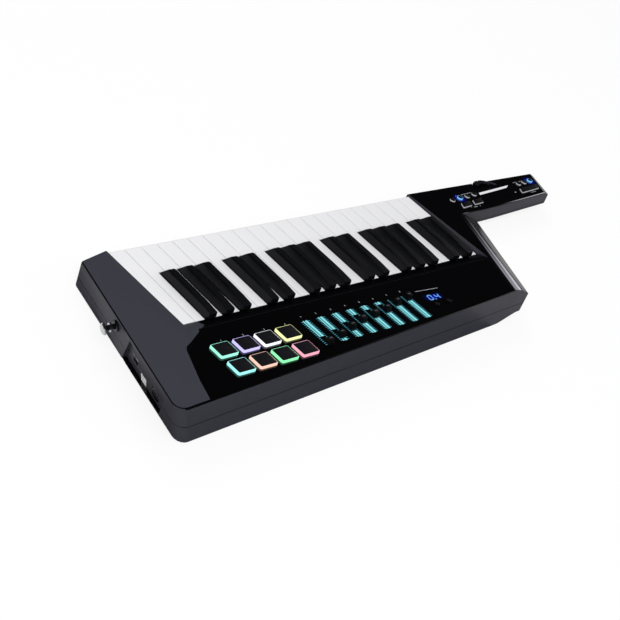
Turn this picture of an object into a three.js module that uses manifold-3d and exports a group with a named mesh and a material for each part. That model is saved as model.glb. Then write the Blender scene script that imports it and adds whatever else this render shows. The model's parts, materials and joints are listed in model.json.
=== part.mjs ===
import * as THREE from 'three';
import { mergeVertices } from 'three/addons/utils/BufferGeometryUtils.js';
import Module from 'manifold-3d';

// A shoulder-slung synthesizer keyboard with a short control neck.
// X runs along the keys from the treble end towards the neck, Y runs from the player's
// panel across the keys to their tips, and Z is up from the flat base. Millimetres.

const wasm = await Module();
wasm.setup();

// Keys
const whitePitch = 23.5;
const whiteCount = 22;
const keyGap = 1.0;
const whiteReach = 136;
const keyDepth = 10;
const keyWall = 1.8;
const keySkin = 2.2;
const noseRound = 2.5;
const lipDrop = 4;
const lipThickness = 2.4;
const keyStart = 0.4;
const keyTravel = 9;
const armWidth = 8;
const armTop = 4;
const armLap = 3.6;
const pinSteps = 10;
const pivotSetback = 28;
const blackWidth = 12.8;
const blackCrown = 11;
const blackHeight = 12;
const blackTip = 86.2;
const blackCrownTip = 76;
const blackOverhang = 3.6;
const blackSeat = 3.4;
const blackFallStart = 30;
const blackFall = THREE.MathUtils.degToRad(4.4);
const blackRound = 1.4;
const blackCorner = 1.2;
const notchGap = 0.8;
const outerShift = 2.5;
const innerShift = 1.5;
const keyLevel = 37.41;
const keySlope = THREE.MathUtils.degToRad(4.608);

// Key bed
const bedPlate = 2;
const bedDrop = 22;
const bedReach = 112;
const railWidth = 12;
const cupWrap = THREE.MathUtils.degToRad(126);
const guideThickness = 2.4;
const guideWidth = 4;
const guideY = 104;
const guideClearance = 2.6;
const footWidth = 3;

// Casing
const wall = 3;
const sideGap = 1.4;
const seatGap = 0.3;
const topLevel = 44.01;
const topSlope = THREE.MathUtils.degToRad(6.584);
const partLevel = 19.3;
const partSlope = THREE.MathUtils.degToRad(3.57);
const edgeRound = 2;
const baseRound = 1.6;
const cheekWidth = 42.3;
const cheekSweep = 59.2;
const cheekDepth = 122.7;
const cheekRound = 12;
const farLip = 1.5;
const farSkew = 10.4;
const farLean = 5.1;
const cheekLean = 25.9;
const frontLean = 4.2;
const heelReach = 18.6;
const heelDepth = 83.7;
const heelRound = 7;
const notchReach = 103;
const notchDepth = 76.4;
const bevelStart = 16.4;
const lipWall = 2.4;
const railSetback = 4;
const pressGap = 1;
const cutOver = 60;
const windowDepth = 10;
const spaceReach = 3600;
const plateSetback = 12;

// Slanted right flank
const crestNear = -12;
const crestFar = 53.5;
const crestRound = 56;
const flankRound = 8;
const rampStart = -30;
const rampRise = 0.305;

// Neck
const neckLift = 10.5;
const neckReach = 284.6;
const neckBend = 134;
const neckBendY = 77.5;
const neckEndY = 85.5;
const neckFarY = 138.5;
const neckFarTaper = 5.1;
const neckEndSkew = 13.6;
const neckRakeNear = 4.6;
const neckRakeFar = 2.6;
const endBevelNear = 14.2;
const endBevelFar = 10.9;
const endBevelDrop = 5.8;
const neckEndRound = 3;
const neckPart = 16.5;

// Control panel
const panelThickness = 1.2;
const panelMargin = 2.8;
const panelHeel = 15;
const inlayStart = 9;
const inlayFarMargin = 1.2;
const inlaySpan = 80;

// Pads
const padLength = 25.3;
const padDepth = 21.5;
const padPitch = 32;
const padRowPitch = 29.4;
const padFirst = 0.7;
const padFarEdge = -47.6;
const padRise = 3;
const padRound = 2.2;
const padEdge = 0.5;
const matThickness = 1.5;
const matMargin = 4;

// Faders
const faderCount = 8;
const faderPitch = 24.35;
const faderFirst = 146.5;
const slotFar = -45.5;
const slotNear = -90.5;
const slotWidth = 2.4;
const capWidth = 8;
const capLength = 10;
const capCrownWidth = 6.4;
const capCrownLength = 6.4;
const capHeight = 8;
const capWaist = 1.2;
const stemThickness = 1.4;
const stemLength = 4;
const sliderWidth = 7;
const sliderLength = 8;
const sliderThickness = 1.6;
const faderRestShares = [0.995, 0.854, 0.683, 0.517, 0.441, 0.366, 0.203, 0.109];

// Round and long buttons
const buttonRadius = 4;
const buttonRise = 2.2;
const buttonRound = 0.5;
const buttonSteps = 12;
const sheetThickness = 1.2;
const sheetMargin = 4.5;
const sheetEdge = 2.25;
const sheetEnd = 4.8;
const sheetCorner = 6;
const panelButtonX = 349.3;
const panelButtonPitch = 22.6;
const panelButtonV = -74.2;
const neckButtonX = 63.2;
const neckButtonPitch = 17.2;
const neckButtonV = 108;
const neckButtonRake = 0.066;
const barSlant = 0.52;
const neckButtonCount = 4;
const endButtonX = 224.4;
const endButtonPitch = 14.6;
const endButtonV = 115.6;
const endButtonCount = 3;
const octaveLength = 19.6;
const octaveDepth = 9.6;
const octaveX = 65;
const octavePitch = 27.4;
const octaveV = 87.6;
const sustainLength = 43.4;
const sustainDepth = 9.6;
const sustainX = 208.2;
const sustainV = 94.2;
const sustainFlange = 1.6;
const stripLength = 67;
const stripDepth = 5;
const stripTaper = 7;
const stripThickness = 1.1;
const stripX = 125.2;
const stripV = 108.2;

// Pitch wheel
const wheelRadius = 28;
const wheelThickness = 6;
const wheelProud = 4.5;
const wheelDrop = 5.6;
const wheelX = 155.6;
const wheelBore = 3.4;
const wheelHub = 7;
const rimDepth = 9;
const rimHalfAngle = THREE.MathUtils.degToRad(34);
const wheelSwing = THREE.MathUtils.degToRad(22);
const wheelSteps = 40;
const wheelEdge = 1.1;
const thumbNotch = 2.2;

// Ports on the left flank
const portY = -44;
const portLevelShare = 0.43;
const portHalfLength = 43.5;
const portTop = 23;
const portBottom = -19.5;
const portSlant = 8.6;
const portRecess = 4.6;
const portWall = 2;
const usbWidth = 12;
const usbHeight = 10.8;
const usbBore = 8.4;
const usbLength = 16;
const usbBoreDepth = 9.6;
const usbU = 9.2;
const usbS = -13.6;
const dinRadius = 8.4;
const dinGrooveOuter = 7.3;
const dinGrooveInner = 6.2;
const dinGrooveDepth = 6;
const dinSteps = 24;
const dinU = -18.8;
const dinS = -7.9;
const switchU = 26.6;
const switchS = -3.7;
const switchLength = 5;
const switchHeight = 3.4;
const switchTravel = 4;
const switchProud = 1.6;
const boardThickness = 1.6;
const boardHalfLength = 38;
const boardHalfHeight = 13;
const boardMiddle = -5;

// Strap pins
const pinFlangeRadius = 6.6;
const pinFlangeThickness = 2.6;
const pinNeckRadius = 3.2;
const pinCollarRadius = 5.3;
const pinCollarStart = 6.4;
const pinCollarLength = 2;
const pinNeckLength = 10.4;
const pinHeadRadius = 6.8;
const pinHeadLength = 3.6;
const pinHeadEdge = 1;
const strapPinSteps = 14;
const pinCheekY = 24;
const pinCheekShare = 0.77;
const lowPinNeckLength = 4;
const lowPinHeadLength = 2.8;
const lowPinX = 112;
const lowPinInset = 21;

// Battery bay
const bayX = 150;
const bayLength = 100;
const bayNear = -98;
const bayDepth = 58;
const bayHeight = 18;
const bayWall = 1.6;
const bayLedge = 1.6;
const doorThickness = 2;

// Values worked out from the sizes above
const keySpan = whiteCount * whitePitch;
const openLeft = -sideGap;
const openRight = keySpan + sideGap;
const lipDepth = keyDepth + lipDrop;
const pivotDrop = (keyDepth + armTop) / 2;
const pivotRadius = (keyDepth - armTop) / 2;
const padRows = 2;
const padColumns = 4;

const axisX = new THREE.Vector3(1, 0, 0);
const axisY = new THREE.Vector3(0, 1, 0);
const axisZ = new THREE.Vector3(0, 0, 1);

// Solids
function toSolid(geometry) {
  const bare = geometry.clone();
  bare.deleteAttribute('normal');
  bare.deleteAttribute('uv');
  const merged = mergeVertices(bare);
  return new wasm.Manifold(new wasm.Mesh({
    numProp: 3,
    vertProperties: new Float32Array(merged.attributes.position.array),
    triVerts: new Uint32Array(merged.index.array),
  }));
}

function toGeometry(solid) {
  const mesh = solid.getMesh();
  const geometry = new THREE.BufferGeometry();
  geometry.setAttribute('position', new THREE.BufferAttribute(mesh.vertProperties, 3));
  geometry.setIndex(new THREE.BufferAttribute(mesh.triVerts, 1));
  geometry.computeVertexNormals();
  return geometry;
}

function join(...solids) {
  return solids.reduce((whole, solid) => whole.add(solid));
}

function cut(solid, ...tools) {
  return tools.reduce((rest, tool) => rest.subtract(tool), solid);
}

function extruded(points, depth, matrix) {
  const shape = new THREE.Shape(points.map(([a, b]) => new THREE.Vector2(a, b)));
  const geometry = new THREE.ExtrudeGeometry(shape, { depth, bevelEnabled: false });
  return toSolid(geometry.applyMatrix4(matrix));
}

// A profile in Y and Z, carried along X.
function prismX(points, low, high) {
  const matrix = new THREE.Matrix4().makeBasis(axisY, axisZ, axisX).setPosition(low, 0, 0);
  return extruded(points, high - low, matrix);
}

// An outline in X and Y, carried up Z and then moved into a frame.
function prismZ(points, low, high, frame = new THREE.Matrix4()) {
  const matrix = frame.clone().multiply(new THREE.Matrix4().makeTranslation(0, 0, low));
  return extruded(points, high - low, matrix);
}

function rectangle(x0, x1, y0, y1) {
  return [[x0, y0], [x1, y0], [x1, y1], [x0, y1]];
}

function block(x0, x1, y0, y1, z0, z1, frame) {
  return prismZ(rectangle(x0, x1, y0, y1), z0, z1, frame);
}

// A turned solid about a line along Z through x, y.
function turned(profile, steps, x, y, frame = new THREE.Matrix4()) {
  const points = profile.map(([r, z]) => new THREE.Vector2(r, z));
  const geometry = new THREE.LatheGeometry(points, steps);
  geometry.rotateX(Math.PI / 2);
  geometry.translate(x, y, 0);
  return toSolid(geometry.applyMatrix4(frame));
}

function drum(radius, low, high, steps, x, y, frame) {
  return turned([[0, low], [radius, low], [radius, high], [0, high]], steps, x, y, frame);
}

// Outlines with rounded corners. A corner is { x, y, round, steps }.
function insetCorners(corners, inset) {
  const count = corners.length;
  const sides = corners.map((corner, i) => {
    const next = corners[(i + 1) % count];
    const run = new THREE.Vector2(next.x - corner.x, next.y - corner.y).normalize();
    const start = new THREE.Vector2(corner.x - run.y * inset, corner.y + run.x * inset);
    return { run, start };
  });
  return corners.map((corner, i) => {
    const before = sides[(i + count - 1) % count];
    const after = sides[i];
    const offset = after.start.clone().sub(before.start);
    const along = offset.cross(after.run) / before.run.cross(after.run);
    const point = before.start.clone().addScaledVector(before.run, along);
    const round = corner.round && Math.max(corner.round - inset, corner.round / 4);
    return { ...corner, x: point.x, y: point.y, round };
  });
}

function roundedOutline(corners) {
  const count = corners.length;
  const bends = corners.map((corner, i) => {
    if (!corner.round) return [[corner.x, corner.y]];
    const here = new THREE.Vector2(corner.x, corner.y);
    const back = corners[(i + count - 1) % count];
    const ahead = corners[(i + 1) % count];
    const toBack = new THREE.Vector2(back.x, back.y).sub(here).normalize();
    const toAhead = new THREE.Vector2(ahead.x, ahead.y).sub(here).normalize();
    const half = Math.acos(THREE.MathUtils.clamp(toBack.dot(toAhead), -1, 1)) / 2;
    const middle = toBack.clone().add(toAhead).normalize();
    const centre = here.clone().addScaledVector(middle, corner.round / Math.sin(half));
    const start = here.clone().addScaledVector(toBack, corner.round / Math.tan(half)).sub(centre);
    const turn = (Math.PI - 2 * half) * Math.sign(toAhead.cross(toBack));
    return Array.from({ length: corner.steps + 1 }, (_, k) => {
      const arm = start.clone().rotateAround(new THREE.Vector2(), turn * k / corner.steps);
      return [centre.x + arm.x, centre.y + arm.y];
    });
  });
  return bends.flatMap((bend, i) => {
    const [x0, y0] = bend.at(-1);
    const [x1, y1] = bends[(i + 1) % count][0];
    const spans = corners[i].spans ?? 1;
    const between = Array.from({ length: spans - 1 }, (_, k) => {
      const share = (k + 1) / spans;
      return [x0 + (x1 - x0) * share, y0 + (y1 - y0) * share];
    });
    return [...bend, ...between];
  });
}

function roundedRectangle(x0, x1, y0, y1, round, steps) {
  return roundedOutline(rectangle(x0, x1, y0, y1).map(([x, y]) => ({ x, y, round, steps })));
}

// A closed skin through rings of equal count, listed from the bottom up.
function ringLoft(rings) {
  const count = rings[0].length;
  const index = [];
  const lid = rings[0].map(([x, y]) => new THREE.Vector2(x, y));
  const crown = rings.at(-1).map(([x, y]) => new THREE.Vector2(x, y));
  const last = (rings.length - 1) * count;
  for (const [a, b, c] of THREE.ShapeUtils.triangulateShape(lid, [])) {
    index.push(c, b, a);
  }
  for (const [a, b, c] of THREE.ShapeUtils.triangulateShape(crown, [])) {
    index.push(last + a, last + b, last + c);
  }
  for (let ring = 0; ring < rings.length - 1; ring += 1) {
    for (let i = 0; i < count; i += 1) {
      const a = ring * count + i;
      const b = ring * count + (i + 1) % count;
      index.push(a, b, b + count, a, b + count, a + count);
    }
  }
  return new wasm.Manifold(new wasm.Mesh({
    numProp: 3,
    vertProperties: new Float32Array(rings.flat(2)),
    triVerts: new Uint32Array(index),
  }));
}

// Everything on the side of a plane that its normal points to.
function halfSpace(normal, point) {
  const size = spaceReach;
  const helper = Math.abs(normal.z) < Math.abs(normal.x) ? axisZ : axisX;
  const side = new THREE.Vector3().crossVectors(helper, normal).normalize();
  const other = new THREE.Vector3().crossVectors(normal, side);
  const frame = new THREE.Matrix4().makeBasis(side, other, normal).setPosition(point);
  return block(-size, size, -size, size, 0, size, frame);
}

// Sloping planes
const topFall = Math.tan(topSlope);
const topHeight = (y) => topLevel - y * topFall;
const topNormal = new THREE.Vector3(0, Math.sin(topSlope), Math.cos(topSlope));
const topFrame = new THREE.Matrix4().makeRotationX(-topSlope).setPosition(0, 0, topLevel);
const keyFrame = new THREE.Matrix4().makeRotationX(-keySlope).setPosition(0, 0, keyLevel);
const alongTop = (y) => y / Math.cos(topSlope);

function fromKey(y, z) {
  const point = new THREE.Vector3(0, y, z).applyMatrix4(keyFrame);
  return [point.y, point.z];
}

const tipY = fromKey(whiteReach, 0)[0];
const farY = tipY + farLip;

// Casing corners: the place on the top plane, the place on the base, and the corner's round.
const cheekX = openLeft - cheekWidth;
const heelX = openRight + heelReach;
const notchX = openRight + notchReach;
const bodyCorners = [
  {
    top: [cheekX, farY - farSkew],
    base: [cheekX - farLip, farY - farSkew - farLean],
    round: heelRound,
    steps: 3,
    spans: 6,
  },
  {
    top: [cheekX - cheekSweep, -cheekDepth],
    base: [cheekX - cheekSweep + cheekLean, -cheekDepth],
    round: cheekRound,
    steps: 5,
    spans: 3,
  },
  { top: [heelX, -heelDepth], base: [heelX, -heelDepth - frontLean], round: heelRound, steps: 4 },
  {
    top: [notchX + neckLift / 2, notchDepth + neckLift],
    base: [notchX + neckLift / 2, notchDepth + neckLift],
    round: 0,
    steps: 0,
  },
  {
    top: [openRight + crestFar, farY - neckLift],
    base: [openRight + crestFar, farY - neckLift],
    round: 0,
    steps: 0,
  },
  { top: [openRight, farY - wall], base: [openRight, farY - wall], round: 0, steps: 0 },
  { top: [openLeft, farY], base: [openLeft, farY - farLean], round: 0, steps: 0 },
];
const neckEndX = openRight + neckReach;
const neckCorners = [
  { top: [openRight - neckLift, neckFarY], base: [openRight - neckLift, neckFarY], round: 0, steps: 0 },
  { top: [openRight - neckLift, notchDepth], base: [openRight - neckLift, notchDepth], round: 0, steps: 0 },
  { top: [notchX, notchDepth], base: [notchX, notchDepth], round: 0, steps: 0 },
  { top: [openRight + neckBend, neckBendY], base: [openRight + neckBend, neckBendY], round: 0, steps: 0 },
  {
    top: [neckEndX - neckEndSkew - neckRakeNear, neckEndY],
    base: [neckEndX - neckEndSkew, neckEndY],
    round: neckEndRound,
    steps: 3,
  },
  {
    top: [neckEndX - neckRakeFar, neckFarY - neckFarTaper],
    base: [neckEndX, neckFarY - neckFarTaper],
    round: neckEndRound,
    steps: 3,
  },
];

// One ring of a leaning wall, at a height that follows from the wall's full height there.
function wallRing(corners, floor, inset, heightOf) {
  const placed = corners.map(({ top, base, ...corner }) => {
    const full = topHeight(top[1]) - floor;
    const share = heightOf(full) / full;
    const x = base[0] + (top[0] - base[0]) * share;
    const y = base[1] + (top[1] - base[1]) * share;
    return { x, y, ...corner };
  });
  return roundedOutline(insetCorners(placed, inset)).map(([x, y]) => {
    return [x, y, floor + heightOf(topHeight(y) - floor)];
  });
}

function leaningBlock(corners, floor, inset) {
  const middle = [1 / 3, 2 / 3].map((share) => {
    return wallRing(corners, floor, inset, (full) => full * share);
  });
  if (inset > 0) {
    return ringLoft([
      wallRing(corners, floor, inset, () => inset),
      ...middle,
      wallRing(corners, floor, inset, (full) => full - inset),
    ]);
  }
  const lower = [0, 1, 2].map((k) => Math.PI / 2 * k / 2).map((angle) => {
    const inward = baseRound * (1 - Math.sin(angle));
    return wallRing(corners, floor, inward, () => baseRound * (1 - Math.cos(angle)));
  });
  const upper = [0, 1, 2].map((k) => Math.PI / 2 * k / 2).map((angle) => {
    const drop = edgeRound * (1 - Math.sin(angle));
    return wallRing(corners, floor, edgeRound * (1 - Math.cos(angle)), (full) => full - drop);
  });
  return ringLoft([...lower, ...middle, ...upper]);
}

// Planes that blend one flat into another about the line where they meet.
function blendCuts(first, second, point, radius, steps) {
  const centre = first.clone().add(second).multiplyScalar(-radius / (1 + first.dot(second)));
  centre.add(point);
  return Array.from({ length: steps - 1 }, (_, k) => {
    const share = (k + 1) / steps;
    const normal = first.clone().lerp(second, share).normalize();
    return halfSpace(normal, centre.clone().addScaledVector(normal, radius));
  });
}

const crestStart = new THREE.Vector3(openRight + crestNear, -heelDepth, topHeight(-heelDepth));
const crestEnd = new THREE.Vector3(openRight + crestFar, notchDepth, topHeight(notchDepth));
const flankFoot = new THREE.Vector3(notchX, notchDepth, neckLift);
const crestRun = crestEnd.clone().sub(crestStart);
const flankNormal = crestRun.clone().cross(flankFoot.clone().sub(crestStart)).normalize();
if (flankNormal.z < 0) flankNormal.negate();
const heelRun = new THREE.Vector3(notchX - heelX, notchDepth + heelDepth, 0).normalize();
const heelNormal = new THREE.Vector3(heelRun.y, -heelRun.x, 0);

// The bevel on the neck's end: it widens towards the near side.
const endNearX = neckEndX - neckEndSkew - neckRakeNear;
const endBevelStart = new THREE.Vector3(endNearX - endBevelNear, neckEndY, topHeight(neckEndY));
const endBevelFoot = new THREE.Vector3(endNearX, neckEndY, topHeight(neckEndY) - endBevelDrop);
const endFarY = neckFarY - neckFarTaper;
const endBevelEnd = new THREE.Vector3(neckEndX - endBevelFar, endFarY, topHeight(endFarY));
const endBevelNormal = endBevelFoot.clone().sub(endBevelStart);
endBevelNormal.cross(endBevelEnd.clone().sub(endBevelStart)).normalize();

// The raised underside: a ramp along the right flank that ends at the neck's underside.
function undersideCut(raise) {
  const run = neckLift / rampRise;
  const profile = [[0, raise], [run, neckLift + raise], [neckReach * 2, neckLift + raise],
    [neckReach * 2, -cutOver], [0, -cutOver]];
  const frame = new THREE.Matrix4().makeBasis(heelNormal, axisZ, heelRun.clone().negate());
  const start = new THREE.Vector3(openRight + rampStart, -heelDepth, 0);
  frame.setPosition(start.addScaledVector(heelRun, neckReach * 2).addScaledVector(heelNormal, -raise));
  return extruded(profile, neckReach * 4, frame);
}

function casingForm(inset) {
  let body = leaningBlock(bodyCorners, 0, inset);
  const point = crestStart.clone().addScaledVector(flankNormal, -inset);
  const cuts = [halfSpace(flankNormal, point)];
  if (inset === 0) {
    cuts.push(...blendCuts(topNormal, flankNormal, crestStart, crestRound, 6));
    const edge = new THREE.Vector3(heelX, -heelDepth, 0);
    const rise = flankNormal.dot(crestStart.clone().sub(edge)) / flankNormal.z;
    cuts.push(...blendCuts(flankNormal, heelNormal, edge.setZ(rise), flankRound, 4));
  }
  body = cut(body, ...cuts);
  const bevelPoint = endBevelStart.clone().addScaledVector(endBevelNormal, -inset);
  const neck = cut(leaningBlock(neckCorners, neckLift, inset), halfSpace(endBevelNormal, bevelPoint));
  return cut(join(body, neck), undersideCut(inset));
}

const outerForm = casingForm(0);
const innerForm = casingForm(wall);

// The key opening: the bevel down to the keys, and everything past its lip.
function keyOpening(drop) {
  const [lipY, lipZ] = fromKey(-seatGap, 0);
  const bevelTop = topHeight(-bevelStart);
  const rise = (bevelTop - lipZ) / (bevelStart + lipY);
  const profile = [
    [-bevelStart - cutOver, bevelTop + rise * cutOver - drop],
    [lipY, lipZ - drop],
    [lipY, -cutOver],
    [farY + cutOver, -cutOver],
    [farY + cutOver, topLevel + cutOver * 2],
    [-bevelStart - cutOver, topLevel + cutOver * 2],
  ];
  return prismX(profile, openLeft, openRight);
}

const partNormal = new THREE.Vector3(0, Math.sin(partSlope), Math.cos(partSlope));
const partPoint = new THREE.Vector3(0, 0, partLevel);
const neckBox = [openRight + crestFar, neckEndX + cutOver, notchDepth - seatGap, neckFarY + cutOver];

function above(solid) {
  const gap = seatGap / 2;
  const high = halfSpace(partNormal, partPoint.clone().addScaledVector(partNormal, gap));
  return cut(solid.intersect(high), block(...neckBox, -cutOver, neckPart + gap));
}

function below(solid) {
  const gap = seatGap / 2;
  const high = halfSpace(partNormal, partPoint.clone().addScaledVector(partNormal, -gap));
  const kept = block(...neckBox, -cutOver, neckPart - gap).intersect(solid);
  return join(cut(solid, high), kept);
}

// Control places on the top plane, in X and distance along the slope.
const nearLine = (x) => {
  const share = (x - cheekX + cheekSweep) / (heelX - cheekX + cheekSweep);
  return alongTop(-cheekDepth + (cheekDepth - heelDepth) * share);
};
const crestLine = (v) => {
  const share = (v * Math.cos(topSlope) + heelDepth) / (notchDepth + heelDepth);
  return openRight + crestNear + (crestFar - crestNear) * share;
};

const padPlaces = [];
for (let row = 0; row < padRows; row += 1) {
  for (let column = 0; column < padColumns; column += 1) {
    padPlaces.push([padFirst + column * padPitch, padFarEdge - row * padRowPitch]);
  }
}
const faderPlaces = Array.from({ length: faderCount }, (_, i) => faderFirst + i * faderPitch);
const panelButtons = [0, 1].map((i) => [panelButtonX + i * panelButtonPitch, panelButtonV]);
const neckButtons = Array.from({ length: neckButtonCount }, (_, i) => {
  const run = i * neckButtonPitch;
  return [openRight + neckButtonX + run, neckButtonV + neckButtonRake * run];
});
const endButtons = Array.from({ length: endButtonCount }, (_, i) => {
  const run = i * endButtonPitch;
  return [openRight + endButtonX + run, endButtonV + neckButtonRake * run];
});
const octaveButtons = [0, 1].map((i) => {
  const run = i * octavePitch;
  return [openRight + octaveX + run, octaveV + neckButtonRake * run];
});
const sustainPlace = [openRight + sustainX, sustainV];
const stripPlace = [openRight + stripX, stripV];

function padOutline([x, v], grow) {
  return roundedRectangle(x - grow, x + padLength + grow, v - padDepth - grow, v + grow, padRound, 2);
}

function slotOutline(x, grow) {
  const half = slotWidth / 2 + grow;
  return rectangle(x - half, x + half, slotNear - grow, slotFar + grow);
}

function buttonOutline([x, v], radius) {
  return Array.from({ length: buttonSteps }, (_, k) => {
    const angle = Math.PI * 2 * k / buttonSteps;
    return [x + radius * Math.cos(angle), v + radius * Math.sin(angle)];
  });
}

function bar([x, v], length, depth, grow) {
  return rectangle(x - grow, x + length + grow, v - grow, v + depth + grow);
}

// The neck's long controls lean the way its end does, and rise along the neck.
function slantedBar([x, v], length, depth, taper, grow) {
  const lean = barSlant * depth;
  const rise = neckButtonRake * length;
  const corners = [
    [x, v],
    [x + length, v + rise],
    [x + length + lean + taper, v + rise + depth],
    [x + lean, v + depth],
  ].map(([a, b]) => ({ x: a, y: b, round: 0, steps: 0 }));
  return roundedOutline(insetCorners(corners, -grow));
}

function sustainOutline(grow) {
  return slantedBar(sustainPlace, sustainLength, sustainDepth, 0, grow);
}

function octaveOutline(place, grow) {
  return slantedBar(place, octaveLength, octaveDepth, 0, grow);
}

function stripOutline(grow) {
  return slantedBar(stripPlace, stripLength, stripDepth, stripTaper, grow);
}

const inlayLeftShares = [[0, 0], [0.31, 0.62], [0.4, 0.755], [0.53, 0.81], [0.76, 0.955], [0.8, 1]];
function panelOutline(grow) {
  const left = openLeft - cheekWidth - inlayStart;
  const far = alongTop(-bevelStart) - inlayFarMargin;
  const near = nearLine(left) + panelMargin;
  const leftSide = inlayLeftShares.map(([x, v]) => {
    return [left + x * inlaySpan, near + v * (far - near)];
  });
  const right = crestLine(far) - panelHeel;
  const heel = crestLine(nearLine(right) + panelMargin) - panelHeel;
  const corners = [
    ...leftSide.reverse(),
    [heel, nearLine(heel) + panelMargin],
    [right, far],
  ].map(([x, y]) => ({ x, y, round: 0, steps: 0 }));
  return roundedOutline(insetCorners(corners, -grow));
}

// Openings through the top skin
function topWindow(outline) {
  return prismZ(outline, -windowDepth, windowDepth, topFrame);
}

const windows = [
  ...padPlaces.map((place) => padOutline(place, seatGap)),
  ...faderPlaces.map((x) => slotOutline(x, 0)),
  ...panelButtons.map((place) => buttonOutline(place, buttonRadius + seatGap)),
];
const neckWindows = [
  ...[...neckButtons, ...endButtons].map((place) => buttonOutline(place, buttonRadius + seatGap)),
  ...octaveButtons.map((place) => octaveOutline(place, seatGap)),
  sustainOutline(seatGap),
];

// Pitch wheel place: a lying wheel that stands out of the neck's far side.
const wheelCentreX = openRight + wheelX;
const wheelFar = neckFarY - neckFarTaper * wheelX / neckReach;
const wheelCentreV = alongTop(wheelFar + wheelProud) - wheelRadius;
const wheelTop = -wheelDrop;
const wheelBottom = wheelTop - wheelThickness;
const rimTop = -seatGap * 2;

// The wheel's window reaches back as far as the thumb rim swings.
function wheelWindow() {
  const x = wheelCentreX;
  const v = wheelCentreV;
  const reach = wheelRadius * 2;
  const low = wheelBottom - seatGap * 2;
  const round = drum(wheelRadius + seatGap * 3, low, windowDepth, dinSteps, x, v, topFrame);
  const edge = v + (wheelRadius - rimDepth) * Math.cos(rimHalfAngle + wheelSwing) - seatGap * 2;
  return round.intersect(block(x - reach, x + reach, edge, v + reach, low, windowDepth, topFrame));
}

// Left flank frame: u towards the far side, s up the wall.
const flankTopNear = new THREE.Vector3(cheekX - cheekSweep, -cheekDepth, topHeight(-cheekDepth));
const flankTopFar = new THREE.Vector3(cheekX, farY - farSkew, topHeight(farY - farSkew));
const flankBaseNear = new THREE.Vector3(cheekX - cheekSweep + cheekLean, -cheekDepth, 0);
const flankBaseFar = new THREE.Vector3(cheekX - farLip, farY - farSkew - farLean, 0);

function onLine(near, far, y) {
  return near.clone().lerp(far, (y - near.y) / (far.y - near.y));
}

function flankPoint(y, share) {
  return onLine(flankBaseNear, flankBaseFar, y).lerp(onLine(flankTopNear, flankTopFar, y), share);
}

const flankOrigin = flankPoint(portY, portLevelShare);
const flankU = flankPoint(portY + portHalfLength, portLevelShare).sub(flankOrigin).normalize();
const flankRise = flankPoint(portY, 1).sub(flankPoint(portY, 0));
const flankS = flankRise.addScaledVector(flankU, -flankRise.dot(flankU)).normalize();
// The frame's third axis points into the casing, so depths are positive inwards.
const flankInward = flankU.clone().cross(flankS);
const flankFrame = new THREE.Matrix4().makeBasis(flankU, flankS, flankInward).setPosition(flankOrigin);

const portOutline = [
  [-portHalfLength + portSlant, portBottom],
  [portHalfLength + portSlant, portBottom],
  [portHalfLength - portSlant, portTop],
  [-portHalfLength - portSlant, portTop],
];

function portBlock(grow, low, high) {
  const corners = portOutline.map(([x, y]) => ({ x, y, round: 0, steps: 0 }));
  return prismZ(roundedOutline(insetCorners(corners, -grow)), low, high, flankFrame);
}

function centred(u, s, length, height, grow) {
  const a = length / 2 + grow;
  const b = height / 2 + grow;
  return rectangle(u - a, u + a, s - b, s + b);
}

const holeDepth = portRecess + windowDepth;
const switchMiddle = switchU + switchTravel / 2;
const switchSlot = centred(switchMiddle, switchS, switchLength + switchTravel, switchHeight, seatGap);
const jackHoles = [
  prismZ(centred(usbU, usbS, usbWidth, usbHeight, seatGap), 0, holeDepth, flankFrame),
  drum(dinRadius + seatGap, 0, holeDepth, dinSteps, dinU, dinS, flankFrame),
  prismZ(switchSlot, 0, holeDepth, flankFrame),
];

// Walls beside the keys, with an overlap into the key opening that its cut then trims.
function sidePlates(overlap) {
  const start = -bevelStart - plateSetback;
  const end = farY + cutOver;
  const top = cutOver * 2;
  return join(
    block(openLeft - wall, openLeft + overlap, start, end, -cutOver, top),
    block(openRight - overlap, openRight + wall, start, end, -cutOver, top),
  ).intersect(outerForm);
}

const portTray = portBlock(portWall, -windowDepth, portRecess + portWall).intersect(outerForm);
const portCut = portBlock(0, -cutOver / 2, portRecess);

function upperShell() {
  const cavity = cut(innerForm, keyOpening(lipWall));
  let shell = cut(outerForm, cavity);
  shell = join(shell, sidePlates(seatGap), portTray);
  shell = cut(shell, keyOpening(0), portCut, ...jackHoles);
  shell = above(shell);
  const recess = prismZ(panelOutline(seatGap), -panelThickness - seatGap, windowDepth, topFrame);
  const tray = prismZ(stripOutline(seatGap), -stripThickness - seatGap, windowDepth, topFrame);
  const holes = [...windows, ...neckWindows].map(topWindow);
  return cut(shell, recess, tray, wheelWindow(), ...holes);
}

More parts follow.
